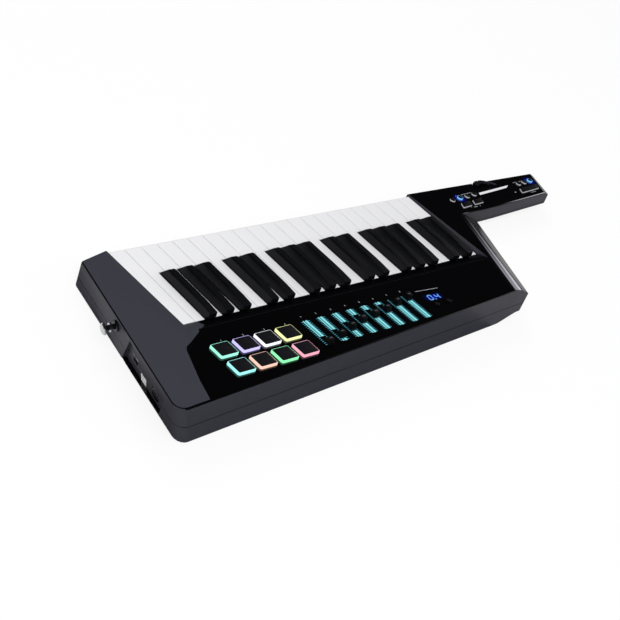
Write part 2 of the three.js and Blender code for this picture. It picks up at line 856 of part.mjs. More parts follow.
function lowerShell() {
  const railY = tipY - lipThickness - railSetback;
  const railTop = fromKey(railY, -keyDepth - keyTravel - pressGap)[1];
  let shell = join(cut(outerForm, innerForm), sidePlates(0), portTray);
  shell = cut(shell, portCut, ...jackHoles);
  shell = below(shell);
  shell = cut(shell,
    block(openLeft, openRight, railY, farY + cutOver, -cutOver, cutOver),
    block(openLeft, openRight, railY - wall, farY + cutOver, railTop, cutOver));
  const rail = block(openLeft - wall / 2, openRight + wall / 2, railY - wall, railY, 0, railTop);
  const bayTop = doorThickness + seatGap + bayHeight;
  const bayBox = (grow) => bar([bayX, bayNear], bayLength, bayDepth, grow);
  const bayShell = prismZ(bayBox(bayWall), wall / 2, bayTop + bayWall);
  const bayHole = prismZ(bayBox(seatGap), -cutOver, doorThickness + seatGap);
  const bayRoom = prismZ(bayBox(-bayLedge), 0, bayTop);
  const axle = (radius, top) => {
    return drum(radius, -cutOver, top, dinSteps, wheelCentreX, wheelCentreV, topFrame);
  };
  const post = join(axle(wheelBore - seatGap, wheelTop), axle(wheelHub, wheelBottom - seatGap));
  const whole = join(shell, rail, bayShell, post.intersect(outerForm));
  return cut(whole, bayHole, bayRoom, wheelWindow());
}

// Key bed: a plate under the keys with the hinge rail, the key guides and two feet.
function keyBed() {
  const points = (list) => list.map(([y, z]) => fromKey(y, z));
  const low = -bedDrop - bedPlate;
  const start = -pivotSetback - railWidth / 2;
  const cup = pivotRadius + seatGap;
  const arc = Array.from({ length: 7 }, (_, k) => {
    const angle = -Math.PI / 2 - cupWrap * k / 6;
    return [-pivotSetback + cup * Math.cos(angle), -pivotDrop + cup * Math.sin(angle)];
  });
  const railTop = arc.at(-1)[1];
  const plate = prismX(points(rectangle(start, bedReach, low, -bedDrop)), 0, keySpan);
  const rail = prismX(points([
    [start, low + bedPlate / 2],
    [start + railWidth, low + bedPlate / 2],
    [start + railWidth, -pivotDrop - cup - seatGap * 2],
    ...arc,
    [start, railTop],
  ]), 0, keySpan);
  const feet = [start, bedReach - footWidth].map((y) => {
    const [y0, z0] = fromKey(y, low + bedPlate / 2);
    const [y1, z1] = fromKey(y + footWidth, low + bedPlate / 2);
    const floor = wall + seatGap;
    return prismX([[y0, floor], [y1, floor], [y1, z1], [y0, z0]], 0, keySpan + rampStart);
  });
  const guideTop = -keySkin - keyTravel - guideClearance;
  const guides = Array.from({ length: whiteCount }, (_, i) => {
    const x = (i + 1 / 2) * whitePitch;
    return block(x - guideWidth / 2, x + guideWidth / 2, guideY, guideY + guideThickness,
      -bedDrop - bedPlate / 2, guideTop, keyFrame);
  });
  return join(plate, rail, ...feet, ...guides);
}

// Keys
const blackShifts = new Map([
  [2, -outerShift],
  [3, 0],
  [4, outerShift],
  [6, -innerShift],
  [0, innerShift],
]);
const blackCentre = (n) => {
  const inside = n > 0 && n < whiteCount;
  return inside && blackShifts.has(n % 7) ? n * whitePitch + blackShifts.get(n % 7) : null;
};

function keyArm(centre, heel) {
  const half = armWidth / 2;
  const pin = new THREE.CylinderGeometry(pivotRadius, pivotRadius, armWidth, pinSteps);
  pin.rotateZ(Math.PI / 2);
  pin.translate(centre, -pivotSetback, -pivotDrop);
  const arm = block(centre - half, centre + half, -pivotSetback, heel, -keyDepth, -armTop);
  return join(arm, toSolid(pin));
}

function whiteKey(i) {
  const reachGap = blackWidth / 2 + notchGap;
  const left = blackCentre(i);
  const right = blackCentre(i + 1);
  const x0 = i * whitePitch + keyGap / 2;
  const x1 = (i + 1) * whitePitch - keyGap / 2;
  const tail0 = left === null ? x0 : left + reachGap;
  const tail1 = right === null ? x1 : right - reachGap;
  const shoulder = blackTip + notchGap;
  const corners = [[tail0, keyStart], [tail1, keyStart]];
  if (right !== null) corners.push([tail1, shoulder], [x1, shoulder]);
  corners.push([x1, whiteReach], [x0, whiteReach]);
  if (left !== null) corners.push([x0, shoulder], [tail0, shoulder]);
  const sharp = corners.map(([x, y]) => ({ x, y, round: 0, steps: 0 }));
  const nose = Array.from({ length: 4 }, (_, k) => {
    const angle = Math.PI / 2 * k / 3;
    return [whiteReach - noseRound * (1 - Math.cos(angle)), -noseRound * (1 - Math.sin(angle))];
  });
  const profile = [
    [keyStart, -keyDepth],
    [whiteReach - lipThickness, -keyDepth],
    [whiteReach - lipThickness, -lipDepth],
    [whiteReach, -lipDepth],
    ...nose,
    [keyStart, 0],
  ];
  const form = prismZ(corners, -lipDepth, 0).intersect(prismX(profile, x0 - keyGap, x1 + keyGap));
  const hollow = prismZ(roundedOutline(insetCorners(sharp, keyWall)), -lipDepth - keyDepth, -keySkin);
  return join(cut(form, hollow), keyArm((tail0 + tail1) / 2, keyStart + armLap));
}

function blackKey(n) {
  const centre = blackCentre(n);
  const ring = (z, a, heel, tip, corner) => {
    const outline = roundedRectangle(centre - a, centre + a, heel, tip, corner, 1);
    return outline.map(([x, y]) => [x, y, z]);
  };
  const tipAt = (z) => blackTip - (blackTip - blackCrownTip) * z / blackHeight;
  const half = blackWidth / 2;
  const crown = blackCrown / 2;
  const shoulder = blackHeight - blackRound;
  const near = -blackOverhang;
  const form = ringLoft([
    ring(-keyDepth, half, near, blackTip, blackCorner),
    ring(0, half, near, blackTip, blackCorner),
    ring(shoulder, crown, near, tipAt(shoulder), blackCorner),
    ring(blackHeight, crown - blackRound, near + blackRound, blackCrownTip - blackRound, blackCorner),
  ]);
  // The crown falls away towards the panel, and its end stands over the opening's lip.
  const fall = new THREE.Vector3(0, -Math.sin(blackFall), Math.cos(blackFall));
  const crest = halfSpace(fall, new THREE.Vector3(0, blackFallStart, blackHeight));
  const step = block(centre - blackWidth, centre + blackWidth, near * 2, keyStart, -keyDepth * 2, blackSeat);
  const ceiling = shoulder - keyWall * 2;
  const inner = (z, a, tip) => ring(z, a - keyWall, keyStart + keyWall, tip, blackCorner / 2);
  const hollow = ringLoft([
    inner(-keyDepth - keyWall, half, blackTip - keyWall),
    inner(0, half, blackTip - keyWall),
    inner(ceiling, crown, tipAt(ceiling) - keyWall * 2),
  ]);
  return join(cut(form, crest, step, hollow), keyArm(centre, keyStart + armLap));
}

// Pads: one silicone mat with eight raised keys
function padMat() {
  const x0 = padFirst - matMargin;
  const x1 = padFirst + (padColumns - 1) * padPitch + padLength + matMargin;
  const v1 = padFarEdge + matMargin;
  const v0 = padFarEdge - (padRows - 1) * padRowPitch - padDepth - matMargin;
  const sheet = block(x0, x1, v0, v1, -wall - seatGap - matThickness, -wall - seatGap);
  const keys = padPlaces.map((place) => {
    const level = (z, grow) => padOutline(place, grow).map(([x, y]) => [x, y, z]);
    return ringLoft([
      level(-wall - seatGap - matThickness / 2, 0),
      level(padRise - padEdge, 0),
      level(padRise, -padEdge),
    ]);
  });
  return join(sheet, ...keys);
}

function faderCap() {
  const crown = [capCrownWidth / 2, capCrownLength / 2];
  const ring = (z, a, b) => rectangle(-a, a, -b, b).map(([x, y]) => [x, y, z]);
  const cap = ringLoft([
    ring(seatGap, capWidth / 2, capLength / 2),
    ring(seatGap + capWaist, capWidth / 2, capLength / 2),
    ring(capHeight, crown[0], crown[1]),
  ]);
  const a = stemThickness / 2;
  const b = stemLength / 2;
  const under = -wall - seatGap * 2;
  const stem = block(-a, a, -b, b, under - sliderThickness / 2, capWaist);
  const slider = prismZ(centred(0, 0, sliderWidth, sliderLength, 0), under - sliderThickness, under);
  return join(cap, stem, slider);
}

function buttonSolid(outline) {
  const corners = outline.map(([x, y]) => ({ x, y, round: 0, steps: 0 }));
  const level = (z, grow) => roundedOutline(insetCorners(corners, grow)).map(([x, y]) => [x, y, z]);
  return ringLoft([
    level(-wall - seatGap - sheetThickness / 2, 0),
    level(buttonRise - buttonRound, 0),
    level(buttonRise, buttonRound),
  ]);
}

function sheet(x0, x1, v0, v1) {
  return block(x0, x1, v0, v1, -wall - seatGap - sheetThickness, -wall - seatGap);
}

function panelKeypad() {
  const last = panelButtons.at(-1);
  const grow = buttonRadius + sheetMargin;
  const base = sheet(panelButtonX - grow, last[0] + grow, panelButtonV - grow, panelButtonV + grow);
  const rounds = panelButtons.map((place) => buttonSolid(buttonOutline(place, buttonRadius)));
  return join(base, ...rounds);
}

// The neck's silicone keypad runs under the touch strip and joins both button groups.
function neckKeypad() {
  const left = neckButtons[0][0] - buttonRadius - sheetMargin;
  const middle = octaveButtons[1][0] + octaveLength + sheetMargin;
  const right = endButtons.at(-1)[0] + sheetEnd;
  const endStart = endButtons[0][0] - buttonRadius - sheetEdge;
  const endNear = endButtonV - buttonRadius - sheetEdge;
  const endFar = endButtons.at(-1)[1] + buttonRadius + sheetEdge;
  const leftFar = neckButtons.at(-1)[1] + buttonRadius + sheetMargin;
  const base = join(
    sheet(left, middle, octaveV - sheetEdge, leftFar),
    sheet(middle - sheetMargin, endStart + sheetMargin, endNear, endFar - sheetMargin),
    prismZ([
      [endStart, endNear],
      [right - sheetCorner, endNear],
      [right, endNear + sheetCorner],
      [right, endFar],
      [endStart, endFar],
    ], -wall - seatGap - sheetThickness, -wall - seatGap),
  );
  const rounds = [...neckButtons, ...endButtons].map((place) => buttonOutline(place, buttonRadius));
  const bars = octaveButtons.map((place) => octaveOutline(place, 0));
  return join(base, ...[...rounds, ...bars].map(buttonSolid));
}

function sustainButton() {
  const low = -wall - seatGap - sheetThickness;
  const flange = prismZ(sustainOutline(sustainFlange), low, -wall - seatGap);
  return join(buttonSolid(sustainOutline(0)), flange);
}

function touchStrip() {
  return prismZ(stripOutline(0), -stripThickness, 0);
}

function pitchWheel() {
  const disc = turned([
    [wheelBore, wheelBottom],
    [wheelRadius - wheelEdge, wheelBottom],
    [wheelRadius, wheelBottom + wheelEdge],
    [wheelRadius, wheelTop],
    [wheelBore, wheelTop],
    [wheelBore, wheelBottom],
  ], wheelSteps, 0, 0);
  const steps = 8;
  const arc = (radius, sign) => Array.from({ length: steps + 1 }, (_, k) => {
    const angle = Math.PI / 2 - sign * rimHalfAngle * (1 - 2 * k / steps);
    return [radius * Math.cos(angle), radius * Math.sin(angle)];
  });
  const rim = prismZ([...arc(wheelRadius - seatGap, 1), ...arc(wheelRadius - rimDepth, -1)],
    wheelTop - thumbNotch, rimTop);
  const low = wheelBottom - thumbNotch;
  const notch = drum(thumbNotch, low, rimTop + thumbNotch, buttonSteps, 0, wheelRadius + wheelEdge / 2);
  return cut(join(disc, rim), notch);
}

function controlPanel() {
  const holes = windows.map((outline) => prismZ(outline, -panelThickness * 2, panelThickness));
  return cut(prismZ(panelOutline(0), -panelThickness, 0), ...holes);
}

// Jacks, their board and the power switch, in the left flank's frame
function jackBoard() {
  const face = portRecess + seatGap;
  const boardFace = face + usbLength;
  const seat = boardFace + boardThickness / 2;
  const boardOutline = centred(0, boardMiddle, boardHalfLength * 2, boardHalfHeight * 2, 0);
  const board = prismZ(boardOutline, boardFace, boardFace + boardThickness);
  const usb = cut(
    prismZ(centred(usbU, usbS, usbWidth, usbHeight, 0), face, seat),
    prismZ(centred(usbU, usbS, usbBore, usbBore, 0), face - wall, face + usbBoreDepth));
  const grooveEnd = face + dinGrooveDepth;
  const groove = turned([
    [dinGrooveInner, face - wall],
    [dinGrooveOuter, face - wall],
    [dinGrooveOuter, grooveEnd],
    [dinGrooveInner, grooveEnd],
    [dinGrooveInner, face - wall],
  ], dinSteps, dinU, dinS);
  const din = cut(drum(dinRadius, face, seat, dinSteps, dinU, dinS), groove);
  const carrierOutline = centred(switchMiddle, switchS, switchLength * 2, switchHeight * 2, 0);
  const carrier = prismZ(carrierOutline, face + portWall * 2 + seatGap * 2, seat);
  return join(board, usb, din, carrier);
}

function powerSwitch() {
  const behind = portRecess + portWall + seatGap;
  const knobOutline = centred(0, 0, switchLength, switchHeight, 0);
  const footOutline = centred(0, 0, switchLength, switchHeight * 2, 0);
  const knob = prismZ(knobOutline, portRecess - switchProud, behind + seatGap);
  return join(knob, prismZ(footOutline, behind, behind + portWall + seatGap));
}

function strapPin() {
  const neckStart = pinFlangeThickness;
  const headStart = neckStart + pinNeckLength;
  const end = headStart + pinHeadLength;
  const points = [
    [0, 0],
    [pinFlangeRadius, 0],
    [pinFlangeRadius, neckStart - pinHeadEdge],
    [pinFlangeRadius - pinHeadEdge, neckStart],
    [pinNeckRadius, neckStart],
    [pinNeckRadius, pinCollarStart],
    [pinCollarRadius, pinCollarStart],
    [pinCollarRadius, pinCollarStart + pinCollarLength],
    [pinNeckRadius, pinCollarStart + pinCollarLength],
    [pinNeckRadius, headStart - pinHeadEdge],
    [pinHeadRadius, headStart + pinHeadEdge],
    [pinHeadRadius, end - pinHeadEdge],
    [pinHeadRadius - pinHeadEdge, end],
    [0, end],
  ];
  return turned(points, strapPinSteps, 0, 0);
}

function lowStrapPin() {
  const headStart = pinFlangeThickness + lowPinNeckLength;
  const end = headStart + lowPinHeadLength;
  const points = [
    [0, 0],
    [pinFlangeRadius, 0],
    [pinFlangeRadius, pinFlangeThickness - pinHeadEdge],
    [pinFlangeRadius - pinHeadEdge, pinFlangeThickness],
    [pinNeckRadius, pinFlangeThickness],
    [pinNeckRadius, headStart - pinHeadEdge],
    [pinHeadRadius, headStart + pinHeadEdge],
    [pinHeadRadius, end - pinHeadEdge],
    [pinHeadRadius - pinHeadEdge, end],
    [0, end],
  ];
  return turned(points, strapPinSteps, 0, 0);
}

function batteryDoor() {
  return block(0, bayLength, 0, bayDepth, 0, doorThickness);
}

// Finishes
const blackGloss = { color: 0x0a0a0c, roughness: 0.12, metalness: 0 };
const blackSatin = { color: 0x1c1c20, roughness: 0.45, metalness: 0 };
const keyWhite = { color: 0xf2f2f0, roughness: 0.25, metalness: 0 };
const keyBlack = { color: 0x17171b, roughness: 0.5, metalness: 0 };
const siliconeDark = { color: 0x26262c, roughness: 0.7, metalness: 0 };
const siliconePale = { color: 0xd9dce4, roughness: 0.5, metalness: 0 };
const boardGreen = { color: 0x1f4a33, roughness: 0.6, metalness: 0 };
const chrome = { color: 0xc8ccd2, roughness: 0.12, metalness: 1 };
const bedGrey = { color: 0x55585c, roughness: 0.6, metalness: 0.1 };

function part(name, solid, finish) {
  const mesh = new THREE.Mesh(toGeometry(solid), new THREE.MeshStandardMaterial(finish));
  mesh.name = name;
  return mesh;
}

const instrument = new THREE.Group();
const keys = new THREE.Group();
const controls = new THREE.Group();
const flank = new THREE.Group();
keyFrame.decompose(keys.position, keys.quaternion, keys.scale);
topFrame.decompose(controls.position, controls.quaternion, controls.scale);
flankFrame.decompose(flank.position, flank.quaternion, flank.scale);
instrument.add(keys, controls, flank);

instrument.add(part('upper_shell', upperShell(), blackGloss));
instrument.add(part('lower_shell', lowerShell(), blackSatin));
instrument.add(part('key_bed', keyBed(), bedGrey));

const whiteLetters = ['C', 'B', 'A', 'G', 'F', 'E', 'D'];
const topOctave = 6;
function noteName(i, mark) {
  const letter = whiteLetters[i % 7];
  const octave = topOctave - Math.floor((i + 6) / 7);
  return `key_${letter}${mark}${octave}`;
}
for (let i = 0; i < whiteCount; i += 1) {
  keys.add(part(noteName(i, ''), whiteKey(i), keyWhite));
  if (blackCentre(i) !== null) keys.add(part(noteName(i, 's'), blackKey(i), keyBlack));
}

controls.add(part('control_panel', controlPanel(), blackGloss));
controls.add(part('pad_mat', padMat(), siliconeDark));
const stemFar = slotFar - stemLength / 2 - seatGap;
const stemRun = slotFar - slotNear - stemLength - seatGap * 2;
faderPlaces.forEach((x, i) => {
  const fader = part(`fader_${i + 1}`, faderCap(), blackSatin);
  fader.position.set(x, stemFar - stemRun * faderRestShares[i], 0);
  controls.add(fader);
});
controls.add(part('panel_keypad', panelKeypad(), siliconePale));
controls.add(part('neck_keypad', neckKeypad(), siliconePale));
controls.add(part('sustain_button', sustainButton(), siliconeDark));
controls.add(part('touch_strip', touchStrip(), siliconePale));
const wheel = part('pitch_wheel', pitchWheel(), blackSatin);
wheel.position.set(wheelCentreX, wheelCentreV, 0);
controls.add(wheel);

flank.add(part('jack_board', jackBoard(), boardGreen));
const powerKnob = part('power_switch', powerSwitch(), blackSatin);
powerKnob.position.set(switchU, switchS, 0);
flank.add(powerKnob);

const cheekPin = part('strap_pin_body', strapPin(), chrome);
const cheekSeat = flankPoint(pinCheekY, pinCheekShare);
const cheekRun = flankPoint(pinCheekY + portHalfLength, pinCheekShare).sub(cheekSeat);
const cheekRise = flankPoint(pinCheekY, 1).sub(flankPoint(pinCheekY, 0));
const cheekNormal = cheekRise.cross(cheekRun).normalize();
cheekPin.position.copy(cheekSeat).addScaledVector(cheekNormal, seatGap);
cheekPin.quaternion.setFromUnitVectors(axisZ, cheekNormal);
instrument.add(cheekPin);

// The second strap pin is a low one, under the neck where it leaves the body.
const neckPin = part('strap_pin_neck', lowStrapPin(), chrome);
neckPin.position.set(openRight + lowPinX, neckFarY - lowPinInset, neckLift - seatGap);
neckPin.rotation.x = Math.PI;
instrument.add(neckPin);

const door = part('battery_door', batteryDoor(), blackSatin);
door.position.set(bayX, bayNear, 0);
instrument.add(door);

// The origin is the middle of the base, under the bounding box.
const group = new THREE.Group();
group.add(instrument);
group.updateMatrixWorld(true);
const bounds = new THREE.Box3().setFromObject(group, true);
const middle = bounds.getCenter(new THREE.Vector3());
instrument.position.set(-middle.x, -middle.y, -bounds.min.z);

export default group;
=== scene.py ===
"""Finishes, lamps and small parts of a shoulder-slung synthesizer keyboard.

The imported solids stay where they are. Shapes here are drawn in millimetres, in one of three
flat frames, and are then set in place: the sloping top, the socket face on the left flank,
and the base.
"""

import json
import math

import bmesh
import bpy
from mathutils import Matrix, Vector


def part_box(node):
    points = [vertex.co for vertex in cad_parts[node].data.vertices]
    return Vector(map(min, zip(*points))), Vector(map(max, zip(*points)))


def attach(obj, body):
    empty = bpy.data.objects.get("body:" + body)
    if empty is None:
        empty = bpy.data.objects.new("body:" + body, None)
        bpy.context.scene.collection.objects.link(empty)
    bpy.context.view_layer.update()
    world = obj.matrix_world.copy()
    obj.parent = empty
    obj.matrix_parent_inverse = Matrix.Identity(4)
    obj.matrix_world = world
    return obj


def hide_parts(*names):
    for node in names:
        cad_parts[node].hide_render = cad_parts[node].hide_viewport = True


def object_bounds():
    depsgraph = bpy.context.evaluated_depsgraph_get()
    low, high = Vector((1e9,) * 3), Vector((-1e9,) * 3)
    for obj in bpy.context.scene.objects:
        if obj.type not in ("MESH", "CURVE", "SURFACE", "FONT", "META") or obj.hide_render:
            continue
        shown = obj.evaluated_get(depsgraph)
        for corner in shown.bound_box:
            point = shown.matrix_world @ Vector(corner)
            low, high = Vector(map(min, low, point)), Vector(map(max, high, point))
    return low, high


bl_info = {
    "name": "Shoulder Keyboard Looks",
    "version": (1, 0, 0),
    "blender": (4, 5, 0),
    "location": "3D View > Sidebar > Keyboard",
    "description": "Finishes, lamps and small parts of a shoulder-slung synthesizer keyboard",
    "category": "Object",
}

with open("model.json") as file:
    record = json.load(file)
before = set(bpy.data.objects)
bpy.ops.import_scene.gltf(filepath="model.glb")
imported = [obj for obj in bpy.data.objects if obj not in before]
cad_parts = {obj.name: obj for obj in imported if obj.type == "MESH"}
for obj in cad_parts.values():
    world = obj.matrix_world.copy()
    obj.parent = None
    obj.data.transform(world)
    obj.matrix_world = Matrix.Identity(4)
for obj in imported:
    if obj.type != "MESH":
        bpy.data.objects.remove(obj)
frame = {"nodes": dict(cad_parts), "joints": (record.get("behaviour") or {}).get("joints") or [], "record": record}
CAD_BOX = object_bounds()

MM = 0.001
SHARP = math.radians(32)
FLAT = math.radians(0.2)
WELD_REACH = 1e-6

# The drawing's own frame: its corner of the battery door, and the sloping top plane
DOOR_CORNER = Vector((150.0, -98.0, 0.0))
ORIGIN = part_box("battery_door")[0] - DOOR_CORNER * MM
TOP_LEVEL = 44.01
TOP_SLOPE = math.radians(6.584)
BASE = Matrix.Translation(ORIGIN) @ Matrix.Scale(MM, 4)
TOP = (
    Matrix.Translation(ORIGIN + Vector((0, 0, TOP_LEVEL * MM)))
    @ Matrix.Rotation(-TOP_SLOPE, 4, "X")
    @ Matrix.Scale(MM, 4)
)


def port_frame():
    """The socket face on the left flank: along it, up it, and inwards, in millimetres."""
    face = next(m for m in frame["record"]["mounts"] if m["name"] == "usb_socket")
    slide = next(j for j in frame["joints"] if j["name"] == "power_slide")
    inward = -Vector(face["axis"])
    along = Vector(slide["axis"])
    matrix = Matrix((along, inward.cross(along), inward)).transposed().to_4x4()
    matrix.translation = Vector(face["pos_m"])
    return matrix @ Matrix.Scale(MM, 4)


PORTS = port_frame()

# Camera, in the drawing's frame
CAMERA_PLACE = Vector((-999.145, -771.460, 999.228))
CAMERA_RIGHT = Vector((0.69655404, -0.60659484, 0.38321687))
CAMERA_DOWN = Vector((-0.17470348, -0.66140863, -0.72939517))
CAMERA_LENS = 85.51
CAMERA_SENSOR = 36
CAMERA_CLIP = (0.05, 50)

# The floor lies just under the rubber feet.
FLOOR_LEVEL = -0.9
PAPER_WHITE_SHARE = 0.86

# The paper as polished faces mirror it, in metres: grey where the object shades it, pale to the
# left and beyond the panel's right end, and dark far off
MIRRORED_NEAR = "#2C2C2C"
MIRRORED_LEFT = "#E0E0E0"
MIRRORED_RIGHT = "#A8A8A8"
MIRRORED_FAR = "#303030"
LEFT_EDGE = CAD_BOX[0].x + 0.04
LEFT_FADE = (-0.08, 0.02)
LEFT_LEAST = 0.08
RIGHT_EDGE = 0.13
FAR_FADE = (0.3, 0.8)

# White cards in the dark room that polished faces mirror, one low beyond the neck and one behind
# the camera's left shoulder: their directions, soft edges and strengths
CARDS = (
    ((0.6, -0.1, -0.3), (1.0, 0.36, 0.3), (0.1, 0.07, 0.13), 3.0),
    ((-1.0, -0.6, 0.3), (-0.65, 0.0, 0.6), (0.1, 0.1, 0.1), 0.8),
)
ROOM_LEVEL = 0.012
ROOM_TINT = "#F4F2FF"
FILL_LEVEL = 0.5

# Softboxes: place from the object's middle and width in metres, and power in watts
SOFTBOXES = (
    ("Softbox_left", (-1.5, -1.1, 2.1), 1.6, 41),
    ("Softbox_right", (1.95, -1.1, 1.15), 0.7, 8),
    ("Softbox_far", (0.3, 1.8, 1.9), 1.4, 15),
)

# Where the satin cap ends on the upper moulding: along and across, in the drawing's frame
SATIN_BORDER = (
    (-56.0, -119.0),
    (-45.9, -88.3),
    (-27.4, -43.9),
    (-23.0, -38.5),
    (-11.6, -33.0),
    (24.7, -12.0),
)

# The joint between the two mouldings: its height, its slope and the width of the painted shadow that stands for
# its gap
JOINT_LEVEL = 19.3
JOINT_SLOPE = math.radians(3.57)
JOINT_SHADOW_WIDTH = 0.9

# Which way a face looks, from its normal: the least Z of an upper face, the most Z of a wall and
# of the satin cap's rounded edge, and the most X of that edge where it looks left
UPPER_FACE = 0.3
WALL_FACE = 0.9
ROUNDED_FACE = 0.985
LEFT_FACE = -0.05

# Rounding of the small solids' edges, in metres
DOOR_EDGE = 0.0004
CAP_EDGE = 0.0005
FINE_EDGE = 0.0003

# Thin plates set in or on a surface: how deep they start and how far they stand up
PRINT = (-0.05, 0.05)
INLAY = (-0.1, 0.1)
COAT_RISE = 0.12
COAT_EDGE = 0.1

# Pads, with the colours of the lamps under the far and the near row
PAD_LENGTH = 25.3
PAD_DEPTH = 21.5
PAD_PITCH = 32.0
PAD_ROW_PITCH = 29.4
PAD_FIRST = 0.7
PAD_FAR_EDGE = -47.6
PAD_ROUND = 2.2
PAD_RISE = 3.0
PAD_COAT = 0.4
PAD_SKIRT_LOW = -3.8
PAD_SKIRT_EDGE = 0.7
PAD_SHEET = (-3.3, 126, -102.5, -43.6, 1)
PAD_SHEET_LEVELS = (-4.8, -3.35)
PAD_GLOW = (
    ("#9FF5DC", "#C9C0FF", "#F0F0FA", "#F2F6B0"),
    ("#A0F5F0", "#F5C8B4", "#8CF0B0", "#F0A8BC"),
)

# Sliders: slot, light guides, scale ticks, the line on each cap, and a black plate under each cap that
# stands for its wide base and paints its shade over the guides. A flat shape is its least and greatest
# x, its least and greatest y, and its corners' radius.
SLIDER_COUNT = 8
SLIDER_PITCH = 24.35
SLIDER_FIRST = 146.5
SLOT_FAR = -45.5
SLOT_NEAR = -90.5
SLOT_HALF = 0.85
GUIDE_EDGES = (-2.6, 4.4)
GUIDE_ROUND = 0.3
GUIDE_LEVELS = (-0.2, 0.1)
TICK_COUNT = 16
TICK_MARGIN = 1.5
TICK_PLACES = (-4.6, 6.4)
TICK = (-1.3, 1.3, -0.35, 0.35, 0.1)
TICK_LEVELS = (-0.1, 0.06)
CAP_LINE = (-2.7, 2.7, -0.3, 0.3, 0.1)
CAP_LINE_LEVELS = (7.9, 8.08)
CAP_BASE_AND_SHADE = (-2.9, 4.7, -4.5, 12.5, 0.8)
CAP_BASE_AND_SHADE_LEVELS = (0.12, 0.27)
CAP_BASE_AND_SHADE_EDGE = 0.05

# Readout: middle and level of each digit, the gaps at the ends of its upright and its level
# segments, the point, and the glowing window around them. A segment is its place across and
# along the digit, and lies level where it is in the middle across.
DIGITS = ((352.6, -60.2, "0"), (364.9, -60.9, "4"))
DIGIT_LENGTH = 6.0
DIGIT_REACH = 4.4
DIGIT_BAR = 1.3
DIGIT_LEAN = 0.6
DIGIT_GAPS = (0.4, 0.5)
DIGIT_ROUND = 0.5
DIGIT_POINT = (358.6, -65.0, 0.9)
WINDOW_MIDDLE = (358.0, -60.4)
WINDOW_CORE = (6, 2, 1.9)
WINDOW_REACH = 12
SEGMENTS = {
    "0": ((0, 1), (-0.5, 0.5), (0.5, 0.5), (-0.5, -0.5), (0.5, -0.5), (0, -1)),
    "4": ((-0.5, 0.5), (0.5, 0.5), (0, 0), (0.5, -0.5)),
}

# Halo round a lamp: the levels of its thin plate, the rings that it is drawn in, and how fast and
# from what strength its light dies away
HALO_LEVELS = (-0.1, 0.05)
HALO_RINGS = 6
HALO_FADE = 2.2
HALO_STRENGTH = 0.6

# Print: numbers over the pads and sliders, signs at the octave buttons, thin lines and a dot
NUMBER_SIZE = 3.4
SIGN_SIZE = 4.0
PRINT_LEVEL = 0.04
PRINT_HALF = 0.03
PAD_LABEL = (22.3, -42.7)
SLIDER_LABEL = (SLIDER_FIRST + 1.5, -38.0)
SIGNS = (("-", 598, 85.7), ("+", 618, 85.4))
RULES = (
    (340.3, -44.3, 380.3, -47.3),
    (595.1, 115.1, 632.4, 117.0),
    (734.5, 120.4, 768.0, 121.3),
    (604.0, 85.4, 612.0, 85.4),
    (745.0, 92.4, 757.0, 92.4),
)
RULE_HALF = 0.3
DOT = (716.2, 99.3, 1.2)

# Neck controls: middle of each round button, the corner and length of each long one, and the
# lit rings' reach past a button's edge and inside its rim
NECK_RAKE = 0.066


def raked_row(x, y, pitch, count):
    """Middles of the buttons in a row that leans with the neck."""
    return [(x + pitch * i, y + NECK_RAKE * pitch * i) for i in range(count)]


ROUND_BUTTONS = raked_row(581.6, 108.0, pitch=17.2, count=4)
END_BUTTONS = raked_row(742.8, 115.6, pitch=14.6, count=3)
LIT_BUTTONS = (ROUND_BUTTONS[1], END_BUTTONS[2])
OCTAVE_BUTTONS = ((583.4, 87.6, 19.6), (610.8, 89.41, 19.6))
SUSTAIN_BUTTON = (726.6, 94.2, 43.4)
BAR_SLANT = 0.52
BAR_DEPTH = 9.6
BUTTON_RADIUS = 4.0
BUTTON_RISE = 2.2
BUTTON_COAT = 0.3
BUTTON_RING = (0.14, -0.3)
BUTTON_RING_LEVELS = (-0.5, BUTTON_RISE - 0.2)
BUTTON_GLOW_START = 0.5
BUTTON_GLOW_REACH = 7
PALE_RISE = 1.35

# Sockets, from the square socket's middle: half widths, depths and the round socket's place
USB_COLLAR = (5.9, 5.3, 0.4)
USB_OPENING = (4.0, 4.0, 0.5)
USB_LINER = (4.15, 4.15, 0.5)
USB_TONGUE = (2.8, 1.6, 0.3)
USB_TONGUE_LEVELS = (0.6, 9.3)
USB_DEPTH = 9.0
USB_COLLAR_LEVELS = (-0.05, -0.4)
ROUND_SOCKET = (-28.0, 5.7)
ROUND_SHIELD = (7.2, 6.35)
ROUND_SHIELD_LEVELS = (-0.15, 5.5)
CONTACT_CIRCLE = 4.2
CONTACT_ANGLES = (0, 45, 90, 135, 180)
CONTACT = (0.95, 0.5)
CONTACT_LEVELS = (-0.2, 0.1)
SWITCH_WORDS = (("ON", -23.6), ("OFF", -15.2))
WORD_SIZE = 3.2
WORD_HEIGHT = 15.6
WORD_LEVEL = 0.36

# The strap pin's plated head and collar, measured back from its outer end
PIN_HEAD = 4.6
PIN_COLLAR = 9.2
PIN_COLLAR_HALF = 1.05

# Underside: screws with the radius and the depth of their sockets, feet, and the battery door's
# grip ribs
SCREWS = (
    (-35, -95),
    (-25, 95),
    (110, 110),
    (110, -90),
    (290, 110),
    (290, -80),
    (430, 105),
    (430, -60),
)
SCREW_HEAD = (3.4, 1.6)
SCREW_LEVELS = (-0.35, 0.2)
SCREW_SOCKET = (1.62, -0.1)
FEET = ((-20, -75), (-15, 80), (450, 85), (440, -45))
FOOT_RADIUS = 7
FOOT_LEVELS = (-0.8, 0.2)
FOOT_EDGE = 0.2
RIB = (-9, 9, -0.5, 0.5, 0.4)
RIB_LEVELS = (-0.4, 0.1)
RIB_FIRST = (200, -52)
RIB_PITCH = 2.2
RIB_COUNT = 5


